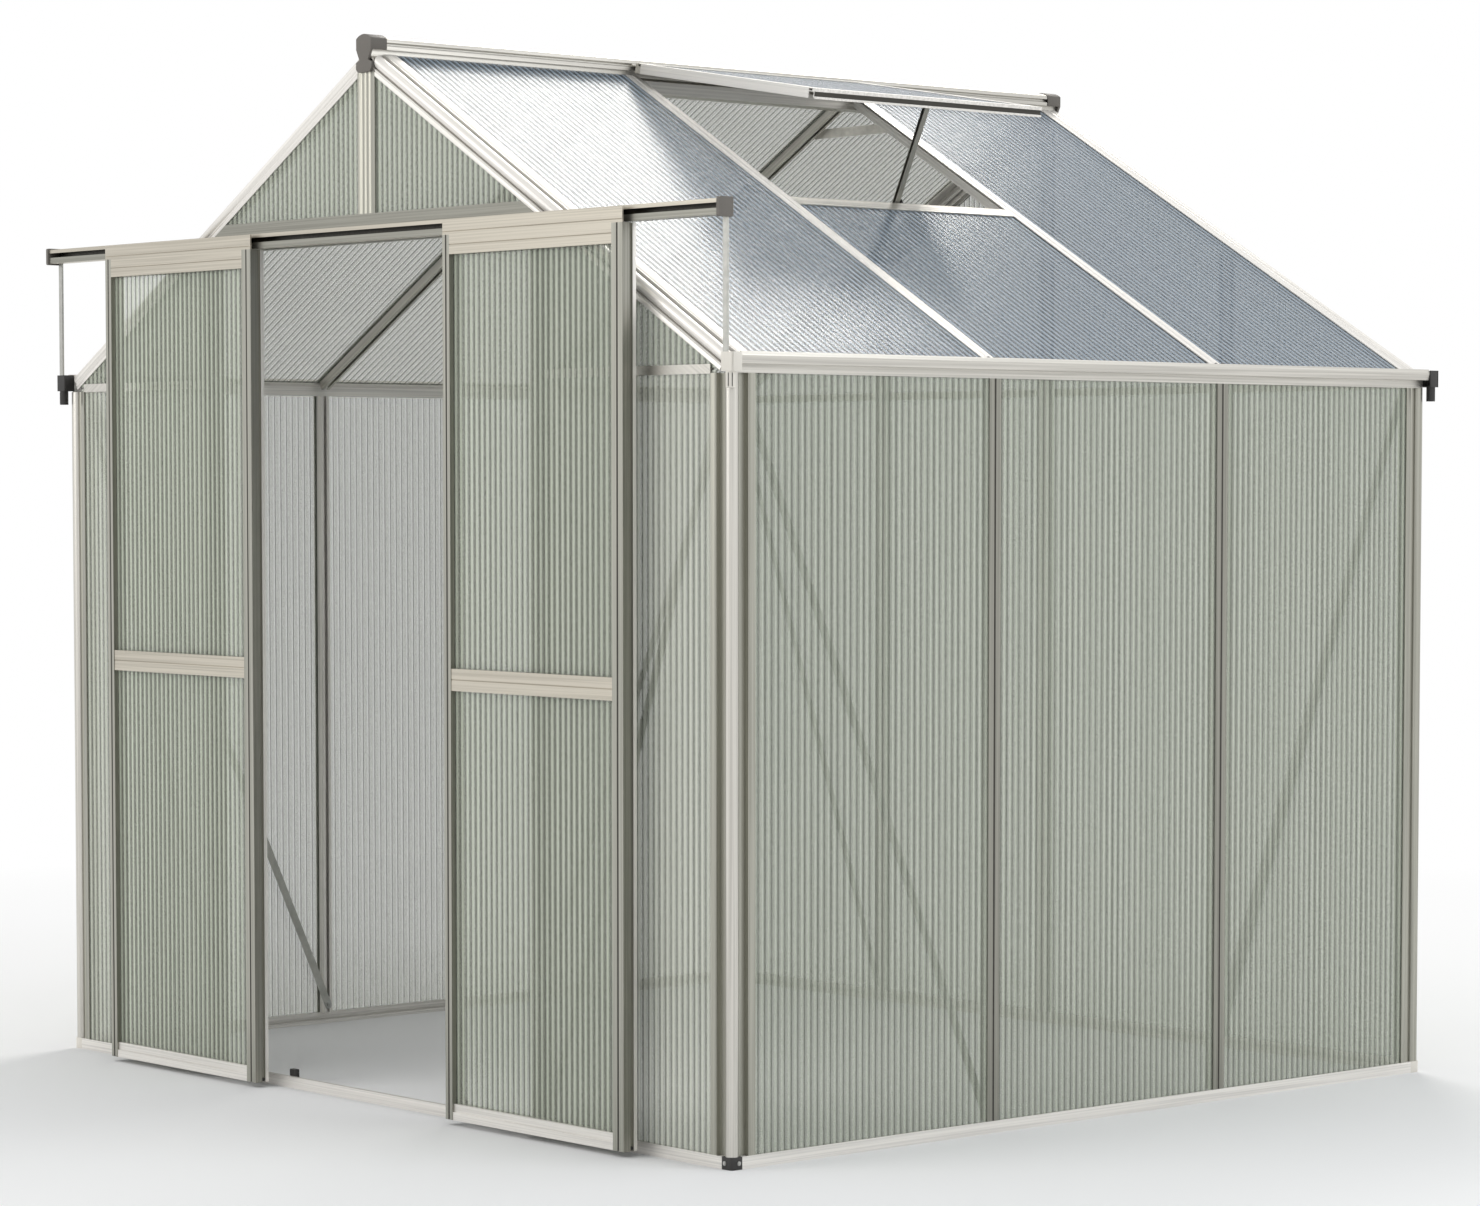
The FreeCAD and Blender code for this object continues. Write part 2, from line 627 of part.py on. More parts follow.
brace_high = wall_top - brace_strip
brace_low = sill_height + brace_strip
post_bolt = post_groove_end + channel_width / 4
side_braces = []
for side in (-1, 1):
    x = side * (half_width - bar_depth)
    inward = Vector(-side, 0, 0)
    for post_y, bar_y in ((front_y + post_bolt, first_bar_y), (rear_y - post_bolt, second_bar_y)):
        side_braces.append(brace(Vector(x, post_y, brace_high), Vector(x, bar_y, brace_low), inward))
parts["side_wall_braces"] = side_braces
end_braces = []
for side in (-1, 1):
    for y, inward in ((front_y + bar_depth, Vector(0, 1, 0)), (rear_y - bar_depth, Vector(0, -1, 0))):
        top = Vector(side * (half_width - post_bolt), y, brace_high)
        end_braces.append(brace(top, Vector(side * jamb_x, y, brace_low), inward))
parts["end_wall_braces"] = end_braces


# Glazing
def sheet_depths(rear):
    """Y limits of a sheet in an end wall."""
    near = wall + panel_gap
    if rear:
        return rear_y - near - panel_thickness, rear_y - near
    return front_y + near, front_y + near + panel_thickness


sheet_top = gutter_base - edge_gap
wall_spans = [(front_y + post_edge, first_bar_y - spare_edge),
              (first_bar_y + spare_edge, second_bar_y - spare_edge),
              (second_bar_y + spare_edge, rear_y - post_edge)]
for name, side in (("left", -1), ("right", 1)):
    outer = side * (half_width - wall - panel_gap)
    inner = outer - side * panel_thickness
    parts[name + "_wall_panels"] = [
        block((min(outer, inner), a, sill_seat), (max(outer, inner), b, sheet_top)) for a, b in wall_spans]
outer_edge = half_width - post_edge
jamb_edges = (jamb_x - spare_edge, jamb_x + spare_edge)
low_top = tie_web - edge_gap
high_base = tie_web + wall + edge_gap
post_sheet_top = ridge_base - edge_gap


def gable_sheet(inner, outer, base, side):
    """Sheet points between two distances from the middle, under the rafter's slot."""
    reach = half_width - (base - eave_height + gable_edge / math.cos(pitch)) / math.tan(pitch)
    outer = min(outer, reach)
    points = [(inner, base), (outer, base)]
    if outer < reach:
        points.append((outer, roof_height(outer, gable_edge)))
    crest = (crossing - gable_edge / math.cos(pitch) - post_sheet_top) / math.tan(pitch)
    if inner < crest:
        points += [(crest, post_sheet_top), (inner, post_sheet_top)]
    else:
        points.append((inner, roof_height(inner, gable_edge)))
    return [(side * x, z) for x, z in points]


front_low, front_high = sheet_depths(False)
rear_low, rear_high = sheet_depths(True)
front_sheets = []
front_gable = []
rear_sheets = []
rear_gable = []
for side in (-1, 1):
    for y_low, y_high, sheets, spans in (
            (front_low, front_high, front_sheets, [(jamb_edges[1], outer_edge)]),
            (rear_low, rear_high, rear_sheets, [(spare_edge, jamb_edges[0]), (jamb_edges[1], outer_edge)])):
        for inner, outer in spans:
            points = [(inner, sill_seat), (outer, sill_seat), (outer, low_top), (inner, low_top)]
            sheets.append(gable_prism([(side * x, z) for x, z in points], y_low, y_high))
    eave_sheet = gable_sheet(jamb_edges[1], half_width, high_base, side)
    header_sheet = gable_sheet(spare_edge, half_width, header_top - stile_slot + edge_gap, side)
    middle_sheet = gable_sheet(spare_edge, jamb_edges[0], high_base, side)
    for points in (eave_sheet, header_sheet):
        front_gable.append(gable_prism(points, front_low, front_high))
    for points in (eave_sheet, middle_sheet):
        rear_gable.append(gable_prism(points, rear_low, rear_high))
parts["front_wall_panels"] = front_sheets
parts["front_gable_panels"] = front_gable
parts["rear_wall_panels"] = rear_sheets
parts["rear_gable_panels"] = rear_gable

vent_sill_web = vent_sill_start + vent_sill_length / 2
roof_low = eave_slope + wall
roof_spans = [(front_y + rafter_edge, first_bar_y - spare_edge, panel_top),
              (first_bar_y + spare_edge, second_bar_y - spare_edge, panel_top),
              (second_bar_y + spare_edge, rear_y - rafter_edge, panel_top)]
vented_spans = list(roof_spans)
vented_spans[1] = roof_spans[1][:2] + (vent_sill_web + wall + edge_gap,)
for name, side, spans in (("left", -1, roof_spans), ("right", 1, vented_spans)):
    parts[name + "_roof_panels"] = [
        slope_prism([(s, sheet_in), (roof_low, sheet_in), (roof_low, sheet_out), (s, sheet_out)], side, a, b)
        for a, b, s in spans]

# Door track, its end caps and struts
track_front = track_gap + track_depth
track_top = track_base + track_height
slot_low = track_base + track_lower_lip
slot_high = track_top - track_upper_lip
axle_reach = track_gap + track_depth / 2
axle_z = track_base + (track_lower_lip + track_height - track_upper_lip) / 2
rib_top = axle_z - roller_tread - run_gap
track_profile = [
    (track_front, track_base), (track_front, slot_low), (track_front - wall, slot_low),
    (track_front - wall, track_base + wall), (axle_reach + rail_rib / 2, track_base + wall),
    (axle_reach + rail_rib / 2, rib_top), (axle_reach - rail_rib / 2, rib_top),
    (axle_reach - rail_rib / 2, track_base + wall), (track_gap + wall, track_base + wall),
    (track_gap + wall, track_top - wall), (track_front - wall, track_top - wall),
    (track_front - wall, slot_high), (track_front, slot_high), (track_front, track_top),
    (track_gap, track_top), (track_gap, track_base)]
track_half = half_width + track_overhang
parts["door_track"] = [door_prism(track_profile, -track_half, track_half)]
track_caps = []
for side in (-1, 1):
    low = (min(side * track_half, side * (track_half + track_cap)), front_y - track_front - track_cap_rim,
           track_base - track_cap_rim)
    high = (max(side * track_half, side * (track_half + track_cap)), front_y - track_gap + track_cap_rim,
            track_top + track_cap_rim)
    cap = block(low, high)
    cap = cap.makeFillet(track_cap_rim, [e for e in cap.Edges if e.BoundBox.XLength > 1])
    track_caps.append(cap)
parts["track_end_caps"] = track_caps
strut_y = front_y - track_gap - strut_thickness
parts["track_struts"] = [
    block((side * (half_width + strut_offset) - strut_width / 2, strut_y, outlet_top),
          (side * (half_width + strut_offset) + strut_width / 2, strut_y + strut_thickness, track_base))
    for side in (-1, 1)]
clip_x, clip_y, clip_z = clip_size
parts["threshold_clips"] = [
    block((side * clip_offset - clip_x / 2, front_y + flange_back, sill_floor),
          (side * clip_offset + clip_x / 2, front_y + flange_back + clip_y, sill_height + clip_z))
    for side in (-1, 1)]


# Doors
door_back = door_face - door_depth
panel_back = door_panel_front - slot
hanger_base = door_top - hanger_box
plate_top = track_top - wall


def stile(x, breadth):
    """Left stile with its outer edge at x: grooves in its front and side, sheet slot, two hollows."""
    front = [(u, v - door_face) for u, v in v_groove(breadth / 2)]
    slot_floor = breadth - stile_slot
    groove_low = door_back + stile_groove
    groove_high = groove_low + stile_groove
    profile = [(0, -door_face)] + front + [
        (breadth, -door_face), (breadth, -door_panel_front), (slot_floor, -door_panel_front),
        (slot_floor, -panel_back), (breadth, -panel_back), (breadth, -door_back), (0, -door_back),
        (0, -groove_low), (stile_groove_depth, -groove_low), (stile_groove_depth, -groove_high),
        (0, -groove_high)]
    bar = extrude(profile, Vector(x, front_y, door_bottom), Vector(x, front_y, door_top), Vector(0, 1, 0))
    for inset, near, far in ((wall, door_face - wall, door_panel_front + wall),
                             (stile_groove_depth + wall, panel_back - wall, door_back + wall)):
        bar = bar.cut(block((x + inset, front_y - near, door_bottom),
                            (x + breadth - wall, front_y - far, door_top)))
    return bar


def notched(reach, low, high, notches):
    """Front edge from low to high with small V grooves at the notches."""
    edge = [(reach, low)]
    for z in notches:
        edge += [(reach, z - hanger_groove), (reach - hanger_groove, z), (reach, z + hanger_groove)]
    return edge + [(reach, high)]


def hanger(x_low, x_high):
    """Hollow box with a slot for the sheet below and a plate in front of the track above."""
    middle = hanger_base + hanger_box / 2
    profile = notched(door_face, hanger_base, plate_top, [middle, door_top + hanger_plate * 2])
    profile += [(door_face - hanger_plate, plate_top), (door_face - hanger_plate, door_top),
                (door_back, door_top), (door_back, hanger_base), (panel_back, hanger_base),
                (panel_back, hanger_base + stile_slot),
                (door_panel_front, hanger_base + stile_slot), (door_panel_front, hanger_base)]
    hollow_low = hanger_base + stile_slot + wall
    hollow = [(door_face - wall, hollow_low), (door_face - wall, door_top - wall),
              (door_back + wall, door_top - wall), (door_back + wall, hollow_low)]
    solid = door_prism(profile, x_low, x_high).cut(door_prism(hollow, x_low, x_high))
    for a, b in ((x_low, x_low + stile_width), (x_high - wide_stile, x_high)):
        pocket = block((a, front_y - door_face - 1, hanger_base - 1), (b, front_y - door_back + 1, door_top))
        solid = solid.cut(pocket)
    return solid


def axle_bolt(x):
    """Shoulder bolt: collar through the track's slot, journal in the roller, nut behind it."""
    front = door_face - hanger_plate
    wheel_front = axle_reach + roller_width / 2 + run_gap
    wheel_back = axle_reach - roller_width / 2 - run_gap
    steps = [(front, 0), (front, axle_collar), (wheel_front, axle_collar), (wheel_front, axle_radius),
             (wheel_back, axle_radius), (wheel_back, axle_nut), (wheel_back - axle_nut_length, axle_nut),
             (wheel_back - axle_nut_length, 0)]
    return turned(steps, x)


def turned(steps, x):
    """Turn (distance in front of the wall, radius) steps about the axle of the roller at x."""
    corners = [Vector(x, front_y - reach, axle_z + radius) for reach, radius in steps]
    face = Part.Face(Part.makePolygon(corners + corners[:1]))
    return face.revolve(Vector(x, front_y, axle_z), Vector(0, 1, 0), 360)


def roller(x):
    """Grooved wheel that runs on the track's rib."""
    bore = axle_radius + axle_gap
    half = roller_width / 2
    groove = roller_groove / 2
    front, back = axle_reach + half, axle_reach - half
    groove_front, groove_back = axle_reach + groove, axle_reach - groove
    steps = [(front, bore), (front, roller_radius), (groove_front, roller_radius),
             (groove_front, roller_tread), (groove_back, roller_tread), (groove_back, roller_radius),
             (back, roller_radius), (back, bore)]
    return turned(steps, x)


def door(name, side):
    inner = side * (door_gap + door_open)
    outer = inner + side * door_width
    x_low, x_high = min(inner, outer), max(inner, outer)
    roller_places = {"inner": inner + side * roller_inset, "outer": outer - side * roller_inset}
    parts[name + "_door_hanger"] = [hanger(x_low, x_high)] + [axle_bolt(x) for x in roller_places.values()]
    for place, x in roller_places.items():
        parts[name + "_" + place + "_roller"] = [roller(x)]
    middle = Vector((x_low + x_high) / 2, 0, 0)
    wide = stile(x_low, wide_stile).mirror(middle, Vector(1, 0, 0))
    parts[name + "_door_stiles"] = [stile(x_low, stile_width), wide]
    face = door_face - rail_setback
    back = face - rail_depth
    rail_low, rail_high = x_low + stile_width, x_high - wide_stile
    mid_top = mid_rail_height + mid_rail
    mid = notched(face, mid_rail_height, mid_top, [mid_rail_height + mid_rail / 2])
    mid += [(door_panel_front, mid_top), (door_panel_front, mid_top - stile_slot),
            (panel_back, mid_top - stile_slot), (panel_back, mid_top), (back, mid_top),
            (back, mid_rail_height), (panel_back, mid_rail_height),
            (panel_back, mid_rail_height + stile_slot),
            (door_panel_front, mid_rail_height + stile_slot), (door_panel_front, mid_rail_height)]
    low_top_z = door_bottom + bottom_rail
    step = door_bottom + bottom_rail / 2
    low = [(face, door_bottom), (face, step), (face - hanger_plate, step), (face - hanger_plate, low_top_z),
           (door_panel_front, low_top_z), (door_panel_front, low_top_z - stile_slot),
           (panel_back, low_top_z - stile_slot), (panel_back, low_top_z), (back, low_top_z),
           (back, door_bottom)]
    parts[name + "_door_rails"] = [door_prism(mid, rail_low, rail_high), door_prism(low, rail_low, rail_high)]
    sheet_front = front_y - door_panel_front + panel_gap
    sheet_low = x_low + stile_width - stile_slot + panel_gap
    sheet_high = x_high - wide_stile + stile_slot - panel_gap
    spans = ((low_top_z - stile_slot + panel_gap, mid_rail_height + stile_slot - panel_gap),
             (mid_top - stile_slot + panel_gap, hanger_base + stile_slot - panel_gap))
    parts[name + "_door_panels"] = [
        block((sheet_low, sheet_front, a), (sheet_high, sheet_front + panel_thickness, b)) for a, b in spans]


door("left", -1)
door("right", 1)

# Vent: made shut on the +X slope, then lifted about its hinge
vent_low_y = first_bar_y + vent_side_gap
vent_high_y = second_bar_y - vent_side_gap
vent_crest = vent_lift + vent_height
slot_crest = vent_crest - vent_lip
slot_base = slot_crest - slot
hinge = Vector(hinge_inset, 0, crossing + hinge_rise)
hinge_s = hinge_inset * math.cos(pitch) - hinge_rise * math.sin(pitch)
hinge_n = hinge_inset * math.sin(pitch) + hinge_rise * math.cos(pitch)


def lifted(shape):
    shape.rotate(hinge, Vector(0, -1, 0), vent_angle)
    return shape


ear_top = slot_base - vent_lip
groove_wall = vent_groove_depth + wall


def rail_points(outer_edge_at, direction, grooved=False):
    """Section of a vent rail: outer wall, plain or grooved, then lips above and below the sheet."""
    steps = [(0, vent_crest), (vent_rail, vent_crest), (vent_rail, slot_crest),
             (vent_slot_depth, slot_crest), (vent_slot_depth, slot_base), (vent_rail, slot_base),
             (vent_rail, ear_top)]
    if grooved:
        bend = vent_groove_low - wall
        steps += [(groove_wall, ear_top), (groove_wall, bend), (wall, bend), (wall, vent_lift), (0, vent_lift),
                  (0, vent_groove_low), (vent_groove_depth, vent_groove_low),
                  (vent_groove_depth, vent_groove_high), (0, vent_groove_high)]
    else:
        steps += [(wall, ear_top), (wall, vent_lift), (0, vent_lift)]
    return [(outer_edge_at + direction * p, n) for p, n in steps]


top_end = vent_top_start + vent_top_rail
neck_low = hinge_n - vent_lip / 2
neck_high = hinge_n + vent_lip / 2
top_profile = [(hinge_s, neck_low), (vent_top_start, neck_low), (vent_top_start, vent_lift),
               (top_end, vent_lift), (top_end, slot_base), (top_end - vent_slot_depth + wall, slot_base),
               (top_end - vent_slot_depth + wall, slot_crest), (top_end, slot_crest), (top_end, vent_crest),
               (vent_top_start, vent_crest), (vent_top_start, neck_high), (hinge_s, neck_high)]
bead = Part.makeCylinder(hinge_bead, vent_high_y - vent_low_y, Vector(hinge.x, vent_low_y, hinge.z),
                         Vector(0, 1, 0))
top_rail = slope_prism(top_profile, 1, vent_low_y, vent_high_y).fuse(bead).removeSplitter()
parts["vent_top_rail"] = [lifted(top_rail)]
bottom_rail_solid = slope_prism(rail_points(vent_end, -1, True), 1, vent_low_y, vent_high_y)
side_rails = []
side_end = vent_end - vent_rail
out = slope_out(1)
for y, direction in ((vent_low_y, 1), (vent_high_y, -1)):
    profile = rail_points(0, direction)
    side_rails.append(extrude(profile, slope_point(1, top_end, 0, y), slope_point(1, side_end, 0, y), out))
pivot_s = vent_end - stay_pivot_inset
ear_half = 2 * peg_radius
ear_end = vent_end - groove_wall
pivot_n = ear_top - stay_width / 2 - stay_head_gap
ears = None
for direction in (-1, 1):
    near = vent_middle_y + direction * (stay_breadth / 2 + run_gap)
    far = near + direction * ear_thickness
    ear = slope_prism([(pivot_s - ear_half, pivot_n - ear_half), (ear_end, pivot_n - ear_half),
                       (ear_end, ear_top), (pivot_s - ear_half, ear_top)],
                      1, min(near, far), max(near, far))
    ears = ear if ears is None else ears.fuse(ear)
pin_half = stay_breadth / 2 + run_gap + ear_thickness
pin_at = slope_point(1, pivot_s, pivot_n, vent_middle_y - pin_half)
pin = Part.makeCylinder(peg_radius, 2 * pin_half, pin_at, Vector(0, 1, 0))
bracket = ears.fuse(pin).removeSplitter()
parts["vent_frame"] = [lifted(solid) for solid in [bottom_rail_solid] + side_rails + [bracket]]
sheet_gap = vent_slot_depth + panel_gap
vent_sheet = slope_prism(
    [(top_end - vent_slot_depth + wall + panel_gap, slot_base + panel_gap),
     (vent_end - sheet_gap, slot_base + panel_gap), (vent_end - sheet_gap, slot_crest - panel_gap),
     (top_end - vent_slot_depth + wall + panel_gap, slot_crest - panel_gap)],
    1, vent_low_y + sheet_gap, vent_high_y - sheet_gap)
parts["vent_panel"] = [lifted(vent_sheet)]

# Sill that the vent shuts on, holding the sheet below it, with the peg for the stay
sill_end = vent_sill_start + vent_sill_length
vent_sill_profile = [
    (vent_sill_start, -flange_back), (vent_sill_start, 0), (sill_end, 0), (sill_end, -wall),
    (vent_sill_web + wall, -wall), (vent_sill_web + wall, -flange), (sill_end, -flange),
    (sill_end, -flange_back)]
vent_sill = slope_prism(vent_sill_profile, 1, first_bar_y + cap_width / 2 + seat_gap,
                        second_bar_y - cap_width / 2 - seat_gap)
plate_low_y = vent_middle_y + peg_side
peg_plate_top = peg_height + peg_radius
peg_plate_points = [(peg_slope - ear_half, peg_height - ear_half), (peg_slope - ear_half, peg_plate_top),
                    (peg_slope + peg_radius, peg_plate_top), (vent_sill_start, -wall),
                    (vent_sill_start, -flange_back)]
peg_holder = slope_prism(peg_plate_points, 1, plate_low_y, plate_low_y + peg_plate)
peg_low_y = vent_middle_y + stay_breadth / 2 + run_gap
peg_at = slope_point(1, peg_slope, peg_height, peg_low_y)
peg = Part.makeCylinder(peg_radius, plate_low_y - peg_low_y, peg_at, Vector(0, 1, 0))
parts["vent_sill"] = [vent_sill, peg_holder.fuse(peg).removeSplitter()]

# Stay: a channel open to -Y that hangs from the vent's lower rail and lies beside the peg, with a row
# of holes along its web
pivot = slope_point(1, pivot_s, pivot_n, vent_middle_y)
pivot = lifted(Part.Vertex(pivot)).Point
peg_point = slope_point(1, peg_slope, peg_height, vent_middle_y)
run = (peg_point - pivot).normalize()
half = stay_width / 2
stay_end = stay_length - half
web_base = stay_breadth - stay_wall
stay = block((-half, 0, 0), (half, stay_end, stay_breadth))
for place in (0, stay_end):
    stay = stay.fuse(Part.makeCylinder(half, stay_wall, Vector(0, place, web_base)))
stay = stay.cut(block((stay_wall - half, 0, 0), (half - stay_wall, stay_end, web_base))).removeSplitter()
stay = stay.cut(Part.makeCylinder(peg_radius + axle_gap, stay_wall, Vector(0, 0, web_base)))
peg_distance = (peg_point - pivot).Length
hole_count = int((stay_end - peg_distance) / stay_hole_pitch)
first_hole = -int((peg_distance - 2 * stay_hole_pitch) / stay_hole_pitch)
for count in range(first_hole, hole_count + 1):
    place = peg_distance + count * stay_hole_pitch
    stay = stay.cut(Part.makeCylinder(stay_hole, stay_wall, Vector(0, place, web_base)))
stay_start = pivot - Vector(0, stay_breadth / 2, 0)
parts["vent_stay"] = [placed(stay, stay_start, Vector(0, 1, 0), run)]

os.makedirs("parts", exist_ok=True)
for name, solids in parts.items():
    shape = solids[0] if len(solids) == 1 else Part.makeCompound(solids)
    shape.exportStep("parts/" + name + ".step")
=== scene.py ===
"""Looks of the aluminium greenhouse: finishes, twin-wall sheets, fasteners and a plain studio.

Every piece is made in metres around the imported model, which is loaded first and never moved.
"""
import json
import math
from collections import namedtuple

import bmesh
import bpy
from bpy.props import FloatProperty, FloatVectorProperty, PointerProperty
from mathutils import Matrix, Vector


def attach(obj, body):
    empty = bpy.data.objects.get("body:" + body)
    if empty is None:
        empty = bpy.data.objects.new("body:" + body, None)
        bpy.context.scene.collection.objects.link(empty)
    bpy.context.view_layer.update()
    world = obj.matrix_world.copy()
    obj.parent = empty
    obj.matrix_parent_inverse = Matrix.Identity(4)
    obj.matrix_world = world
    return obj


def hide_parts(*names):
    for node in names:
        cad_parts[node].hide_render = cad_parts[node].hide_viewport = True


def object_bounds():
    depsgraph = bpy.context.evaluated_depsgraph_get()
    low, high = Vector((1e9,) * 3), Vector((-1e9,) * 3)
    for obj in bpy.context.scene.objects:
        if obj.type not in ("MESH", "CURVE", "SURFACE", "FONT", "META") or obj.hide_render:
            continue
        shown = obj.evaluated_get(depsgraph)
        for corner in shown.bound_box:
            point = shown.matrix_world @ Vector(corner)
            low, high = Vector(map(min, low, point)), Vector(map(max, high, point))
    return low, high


bl_info = {
    "name": "Greenhouse looks",
    "version": (1, 0, 0),
    "blender": (4, 5, 0),
    "location": "3D View > Sidebar > Greenhouse",
    "description": "Finishes, twin-wall sheets and fasteners of an aluminium greenhouse",
    "category": "Object",
}

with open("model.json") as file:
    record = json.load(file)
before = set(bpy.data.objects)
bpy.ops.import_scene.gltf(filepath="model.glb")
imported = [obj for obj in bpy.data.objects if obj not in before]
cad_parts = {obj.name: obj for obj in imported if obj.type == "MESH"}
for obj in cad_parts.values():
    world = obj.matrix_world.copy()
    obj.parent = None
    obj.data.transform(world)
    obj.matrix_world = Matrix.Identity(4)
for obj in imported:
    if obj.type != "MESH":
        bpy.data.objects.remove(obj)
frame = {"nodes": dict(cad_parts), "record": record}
cad_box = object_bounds()
nodes = frame["nodes"]
bodies = frame["record"]["behaviour"]["bodies"]
body_of = {node: body for body, members in bodies.items() for node in members}
slot_of = {part["node"]: part["material_slot"] for part in frame["record"]["subparts"]}

Layer = namedtuple("Layer", "corners radius start height")
Lamp = namedtuple("Lamp", "name place size power tint")

# How faces and vertices are picked
WELD = 1e-6                      # vertices this near are one
RAY_REACH = 10.0                 # rays start this far outside a sheet
FACING = 0.9                     # a face looks along an axis if its normal has this share of it
SIDE_FACING = 0.5                # the sides of a bar have less of the axis that its cap looks along
CAP_FACING = 0.95                # the cap has more than this, and the sides of its groove have less
PARALLEL = 0.99                  # two directions with this product are the same
TIP_BAND = 0.0005                # vertices this near the end of a brace are its tip
FOOT_BAND = 0.0002               # and this near the low end of a roof bar, its foot
SPOUT_BAND = 0.001               # and this near the low end of an outlet, the rim of its spout

# Sizes that the finishes follow
SMOOTH_ANGLE = math.radians(32)  # edges sharper than this stay sharp
ROOF_PITCH = math.radians(30)
VENT_PITCH = math.radians(9.3)   # at rest, where the vent stands open
POST_BEAD = 0.012                # radius of the bead on the corner posts
BEAD_MARGIN = 1.01               # faces within this share of the radius belong to the bead
STILE_LIP = 0.0085               # depth of the lip along the back of a stile
SLOT_DEPTH = 0.005               # what lies further back than this is inside the track or the stay
GROOVE_DEPTH = (0.002, 0.0045)   # the floor of the groove in the vent's rail lies this far behind its front
LINES_ACROSS = 260.0             # scale of the die lines across a bar
LINES_ALONG = 2.0                # and along it
FLUTE_ACROSS = 45.0              # scale of the clouding across the flutes of a sheet
FLUTE_ALONG = 0.7                # and along them
EDGE_BLEND = 0.28                # how soon a sheet turns opaque when it is seen along its face
SKIN_EDGE = 0.12                 # opacity added there by the outer skin
BACK_EDGE = 0.1                  # and by the inner skin
# Places across a flute, from rib to rib, with how pale it is there: painted light in the middle of the flute
# and painted shade at the ribs, for the light that the flutes refract
FLUTE = ((0.0, 0.0), (0.12, 0.1), (0.3, 0.75), (0.5, 1.0), (0.7, 0.75), (0.88, 0.1), (1.0, 0.0))

# Places of the fasteners
NUT_INSET = 0.009                # from the tip of a brace
TIE_INSET = 0.02                 # from the end of a collar tie
BOLT_INSET = 0.006               # up the slope from the foot of a roof bar
CLIP_INSET = 0.004               # the same for the clip
CLIP_SHIFT = 0.023               # from the middle of a roof bar to the clip behind it
SCREW_INSET = 0.018              # from the outer corner of the base
PLUG_DEPTH = 0.004               # from the outer side of a stile
PLUG_BACK = 0.012                # from the back of a stile
PLUG_LIFT = 0.005                # from the foot of a stile
SLIT_ANGLES = (math.radians(22), math.radians(68))
SLIT_SUNK = 0.0009               # from the outside of a spout
SLIT_LIFT = 0.002                # from the foot of a spout
BOLT_HEIGHT = 0.8                # shares of the bolt's radius
CLIP_RADIUS = 2.4
CLIP_HEIGHT = 0.6
SCREW_HEIGHT = 0.5               # share of the screw's radius

# Stage
FLOOR_RADIUS = 60.0
FLOOR_FADE = (2.0, 5.0)          # the floor turns white between these distances
LAMP_TARGET = Vector((0, 0, 1.0))
LAMPS = (
    Lamp("key", (-2.02, 2.8, 5.47), 2.0, 108.0, (1.0, 0.97, 0.92)),
    Lamp("side", (5.5, 1.5, 4.5), 3.5, 105.0, (0.96, 0.98, 1.0)),
    Lamp("front", (-1.5, -6.0, 3.5), 3.5, 105.0, (1.0, 0.98, 0.95)),
)


class MetalSettings(bpy.types.PropertyGroup):
    """Aluminium extrusions, strips and fasteners."""

    # Rails, posts, uprights, roof bars and sills are one satin aluminium, and these tints are lit and shaded
    # copies of it: the lighter rail, roof-bar and sill tones are painted light and sky reflection, and the
    # darker upright and post tones are painted shade and reflection of dark surroundings.
    rail: FloatVectorProperty(name="Rails", description="Colour of door rails and the track",
                              subtype="COLOR", default=(0.58, 0.54, 0.46))
    upright: FloatVectorProperty(name="Uprights", description="Colour of jambs and stiles", subtype="COLOR",
                                 default=(0.42, 0.415, 0.365))
    # Painted shade: the darker tone of bar sides, of the header in the shadow of the track, of the right wall
    # bars' caps and of the stay.
    flank: FloatVectorProperty(name="Flanks", description="Colour of the header, right bars and stay",
                               subtype="COLOR", default=(0.33, 0.325, 0.285))
    post: FloatVectorProperty(name="Posts", description="Colour of corner posts", subtype="COLOR",
                              default=(0.43, 0.425, 0.37))
    slope: FloatVectorProperty(name="Roof bars",
                               description="Colour of the left roof bars, right gutter and ridge",
                               subtype="COLOR", default=(0.66, 0.64, 0.59))
    sill: FloatVectorProperty(name="Sills", description="Colour of the base, rafters and vent",
                              subtype="COLOR", default=(0.90, 0.87, 0.82))
    # Painted shade: near black in grooves, in the track's slot and inside the stay's channel, where shadow
    # falls.
    groove: FloatVectorProperty(name="Grooves", description="Colour inside grooves, the track and the stay",
                                subtype="COLOR", default=(0.075, 0.072, 0.064))
    strip: FloatVectorProperty(name="Strip", description="Colour of braces and struts", subtype="COLOR",
                               default=(0.50, 0.50, 0.47))
    zinc: FloatVectorProperty(name="Zinc", description="Colour of nuts and washers", subtype="COLOR",
                              default=(0.55, 0.55, 0.53))
    roughness: FloatProperty(name="Roughness", description="Roughness of the satin surface", default=0.38,
                             min=0.0, max=1.0, subtype="FACTOR")
    metallic: FloatProperty(name="Metallic", description="Share of metal reflection", default=0.9, min=0.0,
                            max=1.0, subtype="FACTOR")
    nut_radius: FloatProperty(name="Nut radius", description="Across the corners, halved", default=0.0058,
                              unit="LENGTH")
    nut_height: FloatProperty(name="Nut height", description="Along the bolt", default=0.0045,
                              unit="LENGTH")
    bolt_radius: FloatProperty(name="Bolt radius", description="Heads at the feet of the roof bars",
                               default=0.0033, unit="LENGTH")
    screw_radius: FloatProperty(name="Screw radius", description="Heads beside the near base plug",
                                default=0.0042, unit="LENGTH")


